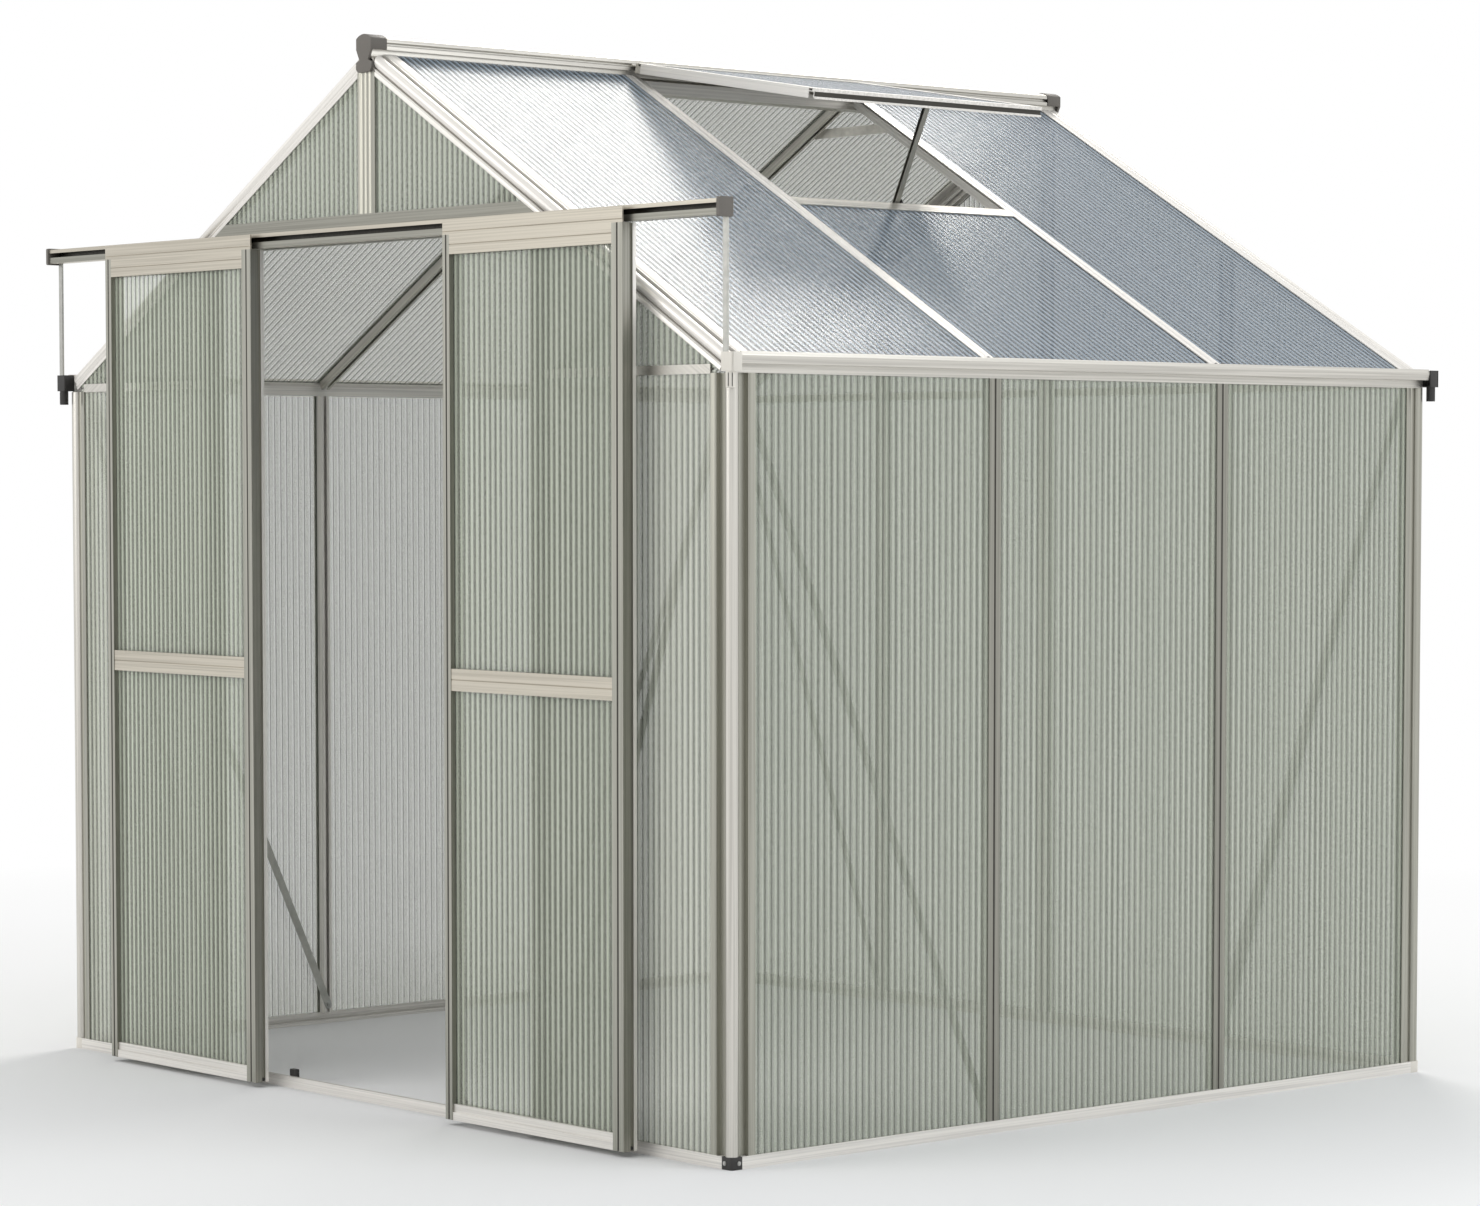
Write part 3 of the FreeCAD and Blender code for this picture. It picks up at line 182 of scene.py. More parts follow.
class SheetSettings(bpy.types.PropertyGroup):
    """Twin-wall glazing sheets."""

    rib_pitch: FloatProperty(name="Rib pitch", description="Distance between ribs", default=0.016,
                             unit="LENGTH")
    rib_thickness: FloatProperty(name="Rib thickness", description="Thickness of a rib", default=0.0009,
                                 unit="LENGTH")
    skin_thickness: FloatProperty(name="Skin thickness", description="Thickness of each skin",
                                  default=0.0005, unit="LENGTH")
    wall_tint: FloatVectorProperty(name="Wall sheet", description="Colour of wall sheets", subtype="COLOR",
                                   default=(0.46, 0.49, 0.405))
    corner_tint: FloatVectorProperty(name="Corner sheet",
                                     description="Colour of the sheets beside the doors", subtype="COLOR",
                                     default=(0.62, 0.64, 0.55))
    # The two roof slopes are one sheet: the pale tone of the slope without a vent is painted light, and the
    # blue of the vented slope and of its ribs is painted sky reflection.
    slope_lit_tint: FloatVectorProperty(name="Left roof sheet",
                                    description="Colour of the slope without a vent", subtype="COLOR",
                                    default=(0.74, 0.76, 0.64))
    roof_sky_tint: FloatVectorProperty(name="Right roof sheet", description="Colour of the vented slope",
                                   subtype="COLOR", default=(0.215, 0.26, 0.305))
    rib_tint: FloatVectorProperty(name="Wall rib", description="Colour of ribs in the walls",
                                  subtype="COLOR", default=(0.16, 0.18, 0.14))
    roof_rib_tint: FloatVectorProperty(name="Roof rib", description="Colour of ribs in the roof",
                                       subtype="COLOR", default=(0.075, 0.095, 0.115))
    wall_opacity: FloatProperty(name="Wall skin opacity", description="Seen square on, for each face",
                                default=0.19, min=0.0, max=1.0, subtype="FACTOR")
    roof_opacity: FloatProperty(name="Roof skin opacity", description="Seen square on, for each face",
                                default=0.25, min=0.0, max=1.0, subtype="FACTOR")
    rib_opacity: FloatProperty(name="Rib opacity", description="For each face", default=0.45, min=0.0,
                               max=1.0, subtype="FACTOR")


class TrimSettings(bpy.types.PropertyGroup):
    """Moulded plastic pieces."""

    dark: FloatVectorProperty(name="Dark plastic", description="Colour of caps and plugs", subtype="COLOR",
                              default=(0.115, 0.105, 0.092))
    black: FloatVectorProperty(name="Black plastic",
                               description="Colour of clips, outlets and the near base plug",
                               subtype="COLOR", default=(0.022, 0.021, 0.020))
    pale: FloatVectorProperty(name="Pale plastic",
                              description="Colour of the near outlet and the far base plugs",
                              subtype="COLOR", default=(0.66, 0.63, 0.57))
    nylon: FloatVectorProperty(name="Nylon", description="Colour of the rollers", subtype="COLOR",
                               default=(0.75, 0.74, 0.70))
    round_edge: FloatProperty(name="Rounded edge", description="Radius on moulded edges", default=0.0012,
                              unit="LENGTH")
    roller_edge: FloatProperty(name="Roller edge", description="Radius on the rollers' edges",
                               default=0.00042, unit="LENGTH")
    plug_radius: FloatProperty(name="Plug radius", description="Plugs in the stiles", default=0.0038,
                               unit="LENGTH")
    plug_height: FloatProperty(name="Plug height", description="Plugs in the stiles", default=0.0036,
                               unit="LENGTH")
    slit_radius: FloatProperty(name="Slit radius", description="Slits in the spouts", default=0.0016,
                               unit="LENGTH")
    slit_height: FloatProperty(name="Slit height", description="Slits in the spouts", default=0.024,
                               unit="LENGTH")


class StageSettings(bpy.types.PropertyGroup):
    """Floor, lights and camera."""

    floor: FloatVectorProperty(name="Floor", description="Colour of the floor", subtype="COLOR",
                               default=(0.92, 0.92, 0.92))
    sky: FloatVectorProperty(name="Ambient", description="Colour of the light from all round",
                             subtype="COLOR", default=(0.69, 0.70, 0.71))
    camera_place: FloatVectorProperty(name="Camera", description="Where the camera stands",
                                      subtype="TRANSLATION", default=(6.620, -5.772, 1.2248))
    camera_turn: FloatVectorProperty(name="Camera turn", description="How the camera is turned",
                                     subtype="EULER",
                                     default=(math.radians(86.778), 0.0, math.radians(48.7245)))
    lens: FloatProperty(name="Lens", description="Focal length in millimetres", default=101.27)
    rise: FloatProperty(name="Rise", description="Upward shift of the frame", default=0.0767)


class Value:
    """Output of a node. Arithmetic on it adds Math nodes to the same tree."""

    def __init__(self, graph, socket):
        self.graph = graph
        self.socket = socket

    def __getitem__(self, name):
        return Value(self.graph, self.socket.node.outputs[name])

    def math(self, operation, *terms):
        return self.graph.add("ShaderNodeMath", {"operation": operation}, dict(enumerate(terms)))

    def __add__(self, other):
        return self.math("ADD", self, other)

    def __radd__(self, other):
        return self.math("ADD", other, self)

    def __sub__(self, other):
        return self.math("SUBTRACT", self, other)

    def __rsub__(self, other):
        return self.math("SUBTRACT", other, self)

    def __mul__(self, other):
        return self.math("MULTIPLY", self, other)

    def __truediv__(self, other):
        return self.math("DIVIDE", self, other)

    def __abs__(self):
        return self.math("ABSOLUTE", self)


class Graph:
    """Node tree that is written as Python."""

    def __init__(self, tree):
        self.tree = tree

    def add(self, kind, settings=None, sockets=None, output=0):
        """New node: its settings first, then the values or links of its sockets."""
        node = self.tree.nodes.new(kind)
        for name, value in (settings or {}).items():
            if name == "stops":
                ramp = node.color_ramp.elements
                for index, (place, level) in enumerate(value):
                    stop = ramp[index] if index < len(ramp) else ramp.new(place)
                    stop.position = place
                    stop.color = (level, level, level, 1)
            else:
                setattr(node, name, value)
        for key, value in (sockets or {}).items():
            self.feed(node.inputs[key], value)
        return Value(self, node.outputs[output]) if node.outputs else node

    def feed(self, socket, value):
        if isinstance(value, Value):
            self.tree.links.new(value.socket, socket)
        elif socket.is_multi_input:
            for item in value:
                self.tree.links.new(item.socket, socket)
        elif socket.type == "RGBA" and len(value) == 3:
            socket.default_value = (*value, 1)
        else:
            socket.default_value = value

    def combine(self, x, y, z):
        return self.add("ShaderNodeCombineXYZ", None, {0: x, 1: y, 2: z})

    def split(self, vector):
        parts = self.add("ShaderNodeSeparateXYZ", None, {0: vector})
        return parts, parts["Y"], parts["Z"]


class Recipe(Graph):
    """Geometry Nodes tree with named inputs and one geometry output."""

    def __init__(self, name, inputs):
        super().__init__(bpy.data.node_groups.new(name, "GeometryNodeTree"))
        for label, kind in inputs.items():
            self.tree.interface.new_socket(label, in_out="INPUT", socket_type="NodeSocket" + kind)
        self.tree.interface.new_socket("Geometry", in_out="OUTPUT", socket_type="NodeSocketGeometry")
        given = self.tree.nodes.new("NodeGroupInput")
        self.given = {label: Value(self, given.outputs[label]) for label in inputs}

    def result(self, geometry):
        self.add("NodeGroupOutput", None, {"Geometry": geometry})

    def make(self, mesh, values):
        """Plain mesh that the tree makes of a mesh."""
        def fit(modifiers):
            modifier = modifiers.new("recipe", "NODES")
            modifier.node_group = self.tree
            for item in self.tree.interface.items_tree:
                if item.in_out == "INPUT" and item.name in values:
                    modifier[item.identifier] = values[item.name]
        return applied(mesh, fit)


class Finish(Graph):
    """Material around one Principled shader."""

    def __init__(self, name):
        self.material = bpy.data.materials.new(name)
        self.material.use_nodes = True
        super().__init__(self.material.node_tree)
        self.shader = self.tree.nodes["Principled BSDF"]

    def surface(self, sockets):
        for name, value in sockets.items():
            self.feed(self.shader.inputs[name], value)
        return self.material

    def place(self):
        return self.add("ShaderNodeTexCoord", output="Object")

    def stretched(self, scale):
        """Object coordinates scaled along each axis."""
        sockets = {"Vector": self.place(), "Scale": scale}
        return self.add("ShaderNodeMapping", {"vector_type": "POINT"}, sockets)

    def noise(self, vector, scale=1.0, detail=2.0):
        sockets = {"Vector": vector, "Scale": scale, "Detail": detail}
        return self.add("ShaderNodeTexNoise", None, sockets, "Fac")

    def blend(self, factor, first, second):
        return self.add("ShaderNodeMix", {"data_type": "RGBA"}, {0: factor, 6: first, 7: second}, 2)

    def ramp(self, value, *stops):
        return self.add("ShaderNodeValToRGB", {"stops": stops}, {0: value})

    def edge(self):
        """1 where a sheet is seen along its face, and 0 where it is seen square on."""
        return self.add("ShaderNodeLayerWeight", None, {"Blend": EDGE_BLEND}, "Facing")

    def between(self, factor, low, high):
        """Low where the factor is 0, and high where it is 1."""
        return factor * (high - low) + low

    def bump(self, height, strength, distance):
        sockets = {"Height": height, "Strength": strength, "Distance": distance}
        return self.add("ShaderNodeBump", None, sockets, "Normal")


def solids_of(node):
    """Merged meshes of a CAD node's separate solids, in the order of their vertices."""
    whole = bmesh.new()
    whole.from_mesh(nodes[node].data)
    bmesh.ops.remove_doubles(whole, verts=whole.verts, dist=WELD)
    whole.verts.index_update()
    seen = set()
    meshes = []
    for seed in whole.verts:
        if seed in seen:
            continue
        seen.add(seed)
        group = [seed]
        for vert in group:
            for edge in vert.link_edges:
                other = edge.other_vert(vert)
                if other not in seen:
                    seen.add(other)
                    group.append(other)
        group.sort(key=lambda vert: vert.index)
        place = {vert: index for index, vert in enumerate(group)}
        faces = [[place[vert] for vert in face.verts] for face in whole.faces if face.verts[0] in place]
        mesh = bpy.data.meshes.new(node)
        mesh.from_pydata([vert.co.copy() for vert in group], [], faces)
        meshes.append(mesh)
    whole.free()
    return meshes


def corners(mesh):
    """Lowest and highest corner of a mesh."""
    spots = [vert.co for vert in mesh.vertices]
    low = Vector([min(spot[axis] for spot in spots) for axis in range(3)])
    high = Vector([max(spot[axis] for spot in spots) for axis in range(3)])
    return low, high


def outer_corner(mesh):
    """X and Y of the corner of a mesh's box that is furthest from the middle of the house."""
    low, high = corners(mesh)
    return Vector([low[axis] if abs(low[axis]) > abs(high[axis]) else high[axis] for axis in (0, 1)])


def front_right(mesh):
    """How far a mesh reaches towards the front right corner of the house."""
    low, high = corners(mesh)
    return high.x - low.y


def joined(name, meshes, finishes=None):
    """One mesh of several, each with its own finish or all with the materials of the first."""
    whole = bmesh.new()
    kinds = list(dict.fromkeys(finishes)) if finishes else list(meshes[0].materials)
    for index, mesh in enumerate(meshes):
        made = len(whole.faces)
        whole.from_mesh(mesh)
        if finishes:
            whole.faces.ensure_lookup_table()
            for face in whole.faces[made:]:
                face.material_index = kinds.index(finishes[index])
    result = bpy.data.meshes.new(name)
    whole.to_mesh(result)
    whole.free()
    for material in kinds:
        result.materials.append(material)
    return result


def show(name, mesh, body, replaced=()):
    """Piece that rides on a body and stands for the replaced nodes."""
    piece = bpy.data.objects.new(name, mesh)
    bpy.context.scene.collection.objects.link(piece)
    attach(piece, body)
    if replaced:
        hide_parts(*replaced)
    return piece


def paint(node, material):
    for slot in nodes[node].material_slots:
        slot.material = material


def recolour(mesh, finish, chosen):
    """Give the faces that a test picks another finish."""
    mesh.materials.append(finish)
    for face in mesh.polygons:
        if chosen(face):
            face.material_index = len(mesh.materials) - 1


def smooth(mesh):
    """Shade a mesh smooth, with sharp edges kept."""
    mesh.polygons.foreach_set("use_smooth", [True] * len(mesh.polygons))
    mesh.set_sharp_from_angle(angle=SMOOTH_ANGLE)
    return mesh


def applied(mesh, fit):
    """Plain mesh of a mesh with the modifiers that a function fits to its carrier."""
    carrier = bpy.data.objects.new("carrier", mesh)
    bpy.context.scene.collection.objects.link(carrier)
    fit(carrier.modifiers)
    depsgraph = bpy.context.evaluated_depsgraph_get()
    made = bpy.data.meshes.new_from_object(carrier.evaluated_get(depsgraph), depsgraph=depsgraph)
    bpy.data.objects.remove(carrier)
    return made


def rounded(mesh, width, segments=2):
    """Mesh with its sharp edges bevelled."""
    def fit(modifiers):
        bevel = modifiers.new("edges", "BEVEL")
        bevel.width = width
        bevel.segments = segments
        bevel.limit_method = "ANGLE"
        bevel.angle_limit = SMOOTH_ANGLE
    return smooth(applied(mesh, fit))


def along_axis(axis):
    """Vector of a brushed pattern that runs along X, Y or Z."""
    def vector(finish):
        scale = [LINES_ACROSS] * 3
        scale[axis] = LINES_ALONG
        return finish.stretched(scale)
    return vector


def along_slope(pitch):
    """Vector of a brushed pattern that runs down both slopes of a roof."""
    def vector(finish):
        x, y, z = finish.split(finish.place())
        down = abs(x) * math.cos(pitch) - z * math.sin(pitch)
        out = abs(x) * math.sin(pitch) + z * math.cos(pitch)
        return finish.combine(down * LINES_ALONG, y * LINES_ACROSS, out * LINES_ACROSS)
    return vector


def shaded(tint, share):
    """Colour with each channel multiplied, up to white."""
    return [min(1.0, channel * share) for channel in tint]


def aluminium(name, tint, settings, vector, shine=1.0):
    """Satin extrusion with faint die lines along the bar."""
    finish = Finish(name)
    lines = finish.noise(vector(finish))
    dull = finish.ramp(lines, (0.38, 0.0), (0.64, 1.0))
    return finish.surface({
        "Base Color": finish.blend(dull, tint, shaded(tint, 0.8)),
        "Metallic": settings.metallic * shine,
        "Roughness": finish.between(dull, settings.roughness - 0.06, settings.roughness + 0.06),
        "Normal": finish.bump(lines, strength=0.12, distance=0.0004),
    })


def strip_metal(name, tint, settings):
    """Plain rolled strip with blotchy zinc-like clouding."""
    finish = Finish(name)
    cloud = finish.noise(finish.place(), scale=60.0, detail=4.0)
    fine = finish.noise(finish.place(), scale=900.0)
    dull = finish.ramp(cloud * 0.7 + fine * 0.3, (0.35, 0.0), (0.7, 1.0))
    return finish.surface({
        "Base Color": finish.blend(dull, tint, shaded(tint, 0.78)),
        "Metallic": settings.metallic,
        "Roughness": finish.between(dull, 0.34, 0.5),
        "Normal": finish.bump(fine, strength=0.08, distance=0.0002),
    })


def plastic(name, tint):
    """Moulded plastic with a fine spark-eroded grain."""
    finish = Finish(name)
    grain = finish.noise(finish.place(), scale=1400.0)
    cloud = finish.noise(finish.place(), scale=40.0, detail=3.0)
    return finish.surface({
        "Base Color": finish.blend(cloud * 0.6 + grain * 0.4, tint, shaded(tint, 1.25)),
        "Roughness": finish.between(grain, 0.46, 0.62),
        "Normal": finish.bump(grain, strength=0.18, distance=0.0002),
    })


def sheet_skin(name, tint, opacity, axis, pitch, depth, roughness):
    """Clear skin with a pale and a dark line along each flute, painted light and shade for the light that the
    flutes refract, more opaque seen along its face.

    The flutes follow one another along X or Y, and the ribs stand at whole pitches.
    Depth is the flutes' contrast.
    """
    finish = Finish(name)
    across = finish.split(finish.place())[axis]
    flute = finish.ramp(across.math("FRACT", across / pitch), *FLUTE)
    scale = [FLUTE_ALONG] * 3
    scale[axis] = FLUTE_ACROSS
    cloud = finish.noise(finish.stretched(scale), detail=1.0)
    level = flute * 0.9 + cloud * 0.2 - 0.05
    clearest = opacity * (1.2 - 0.8 * depth)
    densest = opacity * (1.2 + 1.2 * depth)
    return finish.surface({
        # Painted light and shade: the base colour is paler in the middle of each flute and darker near its
        # ribs.
        "Base Color": finish.blend(level, shaded(tint, 1 - 0.6 * depth), shaded(tint, 1 + 0.9 * depth)),
        "Roughness": roughness,
        "Alpha": finish.between(level, clearest, densest) + finish.edge() * SKIN_EDGE,
    })


def sheet_back(name, tint, opacity):
    """Plain skin on the inner side of the ribs."""
    finish = Finish(name)
    alpha = opacity * 0.8 + finish.edge() * BACK_EDGE
    return finish.surface({"Base Color": tint, "Roughness": 0.3, "Alpha": alpha})


def sheet_rib(name, tint, opacity):
    """Web between the skins."""
    return Finish(name).surface({"Base Color": tint, "Roughness": 0.3, "Alpha": opacity})


def sheet_recipe():
    """Twin-wall sheet of a slab that stands in X and Z: two skins and the ribs between them."""
    recipe = Recipe("twin_wall_sheet", {
        "Slab": "Geometry", "Pitch": "Float", "First": "Float", "Count": "Int", "Front": "Float",
        "Back": "Float", "Skin": "Float", "Rib": "Float", "Fluted Finish": "Material",
        "Plain Finish": "Material", "Rib Finish": "Material"})
    given = recipe.given
    slab, front, back, skin = given["Slab"], given["Front"], given["Back"], given["Skin"]
    x, y, z = recipe.split(recipe.add("GeometryNodeInputPosition"))
    share = skin / (back - front)
    skins = []
    for depth in (front + (y - front) * share, back - (back - y) * share):
        spot = recipe.combine(x, depth, z)
        skins.append(recipe.add("GeometryNodeSetPosition", None, {"Geometry": slab, "Position": spot}))
    middle = (front + back) * 0.5
    ends = []
    for direction in (1, -1):
        ends.append(recipe.add("GeometryNodeRaycast", None, {
            "Target Geometry": slab, "Source Position": recipe.combine(x, middle, -direction * RAY_REACH),
            "Ray Direction": (0, 0, direction), "Ray Length": 2 * RAY_REACH}))
    low = recipe.split(ends[0]["Hit Position"])[2]
    high = recipe.split(ends[1]["Hit Position"])[2]
    line = recipe.add("GeometryNodeMeshLine", {"mode": "OFFSET", "count_mode": "TOTAL"}, {
        "Count": given["Count"], "Start Location": recipe.combine(given["First"], middle, 0.0),
        "Offset": recipe.combine(given["Pitch"], 0.0, 0.0)})
    missed = 1 - ends[0]["Is Hit"]
    sockets = {"Geometry": line, "Selection": missed}
    kept = recipe.add("GeometryNodeDeleteGeometry", {"domain": "POINT"}, sockets)
    centred = recipe.add("GeometryNodeSetPosition", None, {
        "Geometry": kept, "Position": recipe.combine(x, middle, (low + high) * 0.5)})
    # The ends are found again here from x alone, which the move left as it was
    web = recipe.add("GeometryNodeMeshCube", None, {"Size": (1, 1, 1)})
    ribs = recipe.add("GeometryNodeInstanceOnPoints", None, {
        "Points": centred, "Instance": web,
        "Scale": recipe.combine(given["Rib"], back - front - skin * 2.0, high - low)})
    real = recipe.add("GeometryNodeRealizeInstances", None, {"Geometry": ribs})
    finished = []
    for layer, coat in zip([real] + skins, ("Rib Finish", "Plain Finish", "Fluted Finish")):
        sockets = {"Geometry": layer, "Material": given[coat]}
        finished.append(recipe.add("GeometryNodeSetMaterial", None, sockets))
    recipe.result(recipe.add("GeometryNodeJoinGeometry", None, {"Geometry": finished}))
    return recipe


def sheet_turn(slab):
    """Turn that takes X, Y and Z to across a slab's ribs, out of the house and along the ribs."""
    face = max(slab.polygons, key=lambda polygon: polygon.area)
    out = face.normal.copy()
    if out.xy.dot(face.center.xy) < 0:
        out.negate()
    rise = (Vector((0, 0, 1)) - out * out.z).normalized()
    across = out.cross(rise)
    return Matrix((across, out, rise)).transposed().to_4x4()


def twin_wall(slab, recipe, settings, skin, back, rib):
    turn = sheet_turn(slab)
    slab.transform(turn.inverted())
    low, high = corners(slab)
    first = math.ceil(low.x / settings.rib_pitch)
    count = math.floor(high.x / settings.rib_pitch) - first + 1
    sheet = recipe.make(slab, {
        "Pitch": settings.rib_pitch, "First": first * settings.rib_pitch, "Count": count, "Front": low.y,
        "Back": high.y, "Skin": settings.skin_thickness, "Rib": settings.rib_thickness, "Fluted Finish": skin,
        "Plain Finish": back, "Rib Finish": rib})
    sheet.transform(turn)
    return sheet


def stud_recipe(name, layers):
    """Stacked round or many-sided layers on each point, facing along the point's own direction.

    A layer's radius is a share of the stud's, and its start and height are shares of the stud's height.
    """
    recipe = Recipe(name, {"Points": "Geometry", "Radius": "Float", "Height": "Float", "Finish": "Material"})
    radius, height = recipe.given["Radius"], recipe.given["Height"]
    stack = []
    for layer in layers:
        sockets = {"Vertices": layer.corners, "Radius": radius * layer.radius, "Depth": height * layer.height}
        drum = recipe.add("GeometryNodeMeshCylinder", None, sockets)
        lift = recipe.combine(0.0, 0.0, height * (layer.start + layer.height / 2))
        stack.append(recipe.add("GeometryNodeTransform", None, {"Geometry": drum, "Translation": lift}))
    stud = recipe.add("GeometryNodeJoinGeometry", None, {"Geometry": stack})
    facing = recipe.add("GeometryNodeInputNamedAttribute", {"data_type": "FLOAT_VECTOR"}, {"Name": "facing"})
    turn = recipe.add("FunctionNodeAlignRotationToVector", {"axis": "Z"}, {"Vector": facing})
    placed = recipe.add("GeometryNodeInstanceOnPoints", None, {
        "Points": recipe.given["Points"], "Instance": stud, "Rotation": turn})
    real = recipe.add("GeometryNodeRealizeInstances", None, {"Geometry": placed})
    recipe.result(recipe.add("GeometryNodeSetMaterial", None, {
        "Geometry": real, "Material": recipe.given["Finish"]}))
    return recipe


def spots_mesh(spots):
    """Points with the direction that each faces."""
    mesh = bpy.data.meshes.new("spots")
    mesh.from_pydata([place for place, facing in spots], [], [])
    directions = mesh.attributes.new("facing", "FLOAT_VECTOR", "POINT")
    for item, (place, facing) in zip(directions.data, spots):
        item.vector = facing
    return mesh


class GREENHOUSE_OT_extrusions(bpy.types.Operator):
    """Give every aluminium extrusion its satin finish, with die lines along its length, in tones with light
    and shade painted in
    """
    bl_idname = "greenhouse.extrusions"
    bl_label = "Extrusions"

    def execute(self, context):
        finishes = self.make_finishes(context.scene.greenhouse_metal)
        for node, slot in slot_of.items():
            if slot == "aluminium":
                finish = finishes[self.finish_name(node)]
                paint(node, finish)
                self.show_copy(node, finish, finishes)
        self.show_vent(finishes["vent"], finishes["shade"])
        self.show_track(finishes["across"], finishes["header"], finishes["shade"])
        return {"FINISHED"}

    def make_finishes(self, settings):
        """Each finish of the extrusions: its colour, the run of its die lines and its share of metal. The
        colours are lit and shaded copies of one aluminium, with light and shade painted in.
        """
        x, y, z = along_axis(0), along_axis(1), along_axis(2)
        slope = along_slope(ROOF_PITCH)
        # Light and shade are painted into these colours: the header and flank finishes take the darker side
        # tone, painted shade; lip, rafter, vent and both sills take the pale sill tone, painted light; the
        # bead takes the lighter roof-bar tone, a painted highlight; and shade is near black painted shade for
        # grooves and slots.
        kinds = (
            ("lengthways", "y", settings.slope, y, 1.0),
            ("across", "x", settings.rail, x, 1.0),
            ("upright", "z", settings.upright, z, 1.0),
            ("header", "header", settings.flank, x, 1.0),
            ("flank", "flank", settings.flank, z, 1.0),
            ("lip", "lip", settings.sill, z, 0.5),
            ("bead", "bead", settings.slope, z, 1.0),
            ("rafter", "rafter", settings.sill, slope, 0.5),
            ("vent", "vent", settings.sill, along_slope(VENT_PITCH), 0.5),
            ("side_sill", "sill_y", settings.sill, y, 0.35),
            ("end_sill", "sill_x", settings.sill, x, 0.6),
            ("shade", "shade", settings.groove, y, 1.0),
            ("post", "post", settings.post, z, 1.0),
            ("sloping", "slope", settings.slope, slope, 1.0),
        )
        return {label: aluminium("aluminium_" + name, tint, settings, vector, shine)
                for label, name, tint, vector, shine in kinds}

    def finish_name(self, node):
        """Which finish a node has."""
        # Nodes named here take a lit or shaded tone: the left and rear wall bars, right roof bars, sills and
        # left gutter take the pale sill tone as painted light, and the door header takes the darker side tone
        # as painted shade.
        named = {
            "left_wall_bars": "lip", "rear_wall_bars": "lip", "vent_frame": "vent", "door_header": "header",
            "right_roof_bars": "rafter", "left_roof_bars": "sloping", "eave_ties": "sloping",
            "left_sill": "side_sill", "right_sill": "side_sill", "left_gutter": "side_sill",
            "front_sill": "end_sill", "rear_sill": "end_sill"}
        endings = {
            "_post": "post", "_wall_bars": "upright", "_jamb": "upright", "_stiles": "upright",
            "_rafters": "rafter"}
        if node in named:
            return named[node]
        for ending, finish in endings.items():
            if node.endswith(ending):
                return finish
        if "gutter" in node or "ridge" in node or node.startswith("vent"):
            return "lengthways"
        return "across"

    def show_copy(self, node, finish, finishes):
        """Copy of a node that is rounded, has two finishes or has grooves, with painted highlight, light or
        shade on some of its faces.
        """
        if node.endswith(("_post", "_rafters")) or node in ("ridge_beam", "vent_top_rail"):
            solids = [smooth(solid) for solid in solids_of(node)]
            mesh = joined(node + "_smooth", solids, [finish] * len(solids))
            # Painted highlight: the bead of each front post takes the lighter roof-bar tone.
            if node in ("front_left_post", "front_right_post"):
                corner = outer_corner(mesh)
                middle = corner - Vector([math.copysign(POST_BEAD, side) for side in corner])
                reach = POST_BEAD * BEAD_MARGIN
                recolour(mesh, finishes["bead"], lambda face: (face.center.xy - middle).length < reach)
            show(node + "_smooth", mesh, body_of[node], [node])
        elif node.endswith("_door_rails"):
            # Painted light: the lowest rail takes the pale sill tone.
            rails = sorted(solids_of(node), key=lambda rail: corners(rail)[0].z)
            mesh = joined(node + "_pair", rails, [finishes["end_sill"]] + [finish] * (len(rails) - 1))
            show(node + "_pair", mesh, body_of[node], [node])
        elif finish is finishes["upright"]:
            # Side wall bars take the darker side tone, painted shade, on their caps too.
            side = node.endswith("_wall_bars")
            cap = finishes["flank"] if side else finish
            self.show_grooved(node, 0 if side else 1, cap, finishes)

    def show_track(self, metal, lip, slot):
        """Copy of the door track with painted shade: a dark slot and a duller lip below it."""
        mesh = joined("door_track_slotted", solids_of("door_track"), [metal])
        low, high = corners(mesh)
        middle = (low.z + high.z) / 2
        recolour(mesh, lip, lambda face: face.normal.y < -FACING and face.center.z < middle)
        recolour(mesh, slot, lambda face: face.normal.y < -FACING and face.center.y > low.y + SLOT_DEPTH)
        show("door_track_slotted", mesh, body_of["door_track"], ["door_track"])

    def show_vent(self, metal, groove):
        """Copy of the vent's frame with painted shade in the groove of its lower rail."""
        rails = solids_of("vent_frame")
        lower = max(rails, key=lambda rail: corners(rail)[1].x)
        fronts = [face for face in lower.polygons if face.normal.x > FACING]
        out = max(fronts, key=lambda face: face.center.x).normal.copy()
        reach = max(vert.co.dot(out) for vert in lower.vertices)
        near, far = GROOVE_DEPTH
        mesh = joined("vent_frame_grooved", rails, [metal] * len(rails))
        recolour(mesh, groove, lambda face: face.normal.dot(out) > PARALLEL
                 and near < reach - face.center.dot(out) < far)
        show("vent_frame_grooved", mesh, body_of["vent_frame"], ["vent_frame"])

    def show_grooved(self, node, axis, cap, finishes):
        """Copy of upright bars with painted shade: darker sides and dark V grooves in the caps, which face
        along an axis.

        Stiles also have a lighter lip along the back of each side, painted light.
        """
        solids = solids_of(node)
        mesh = joined(node + "_grooved", solids, [cap] * len(solids))
        recolour(mesh, finishes["flank"], lambda face: abs(face.normal[axis]) < SIDE_FACING)
        recolour(mesh, finishes["shade"], lambda face: SIDE_FACING <= abs(face.normal[axis]) < CAP_FACING)
        if node.endswith("_stiles"):
            edge = corners(mesh)[1].y - STILE_LIP
            recolour(mesh, finishes["lip"], lambda face: abs(face.normal.x) > FACING
                     and min(mesh.vertices[index].co.y for index in face.vertices) > edge)
        show(node + "_grooved", mesh, body_of[node], [node])


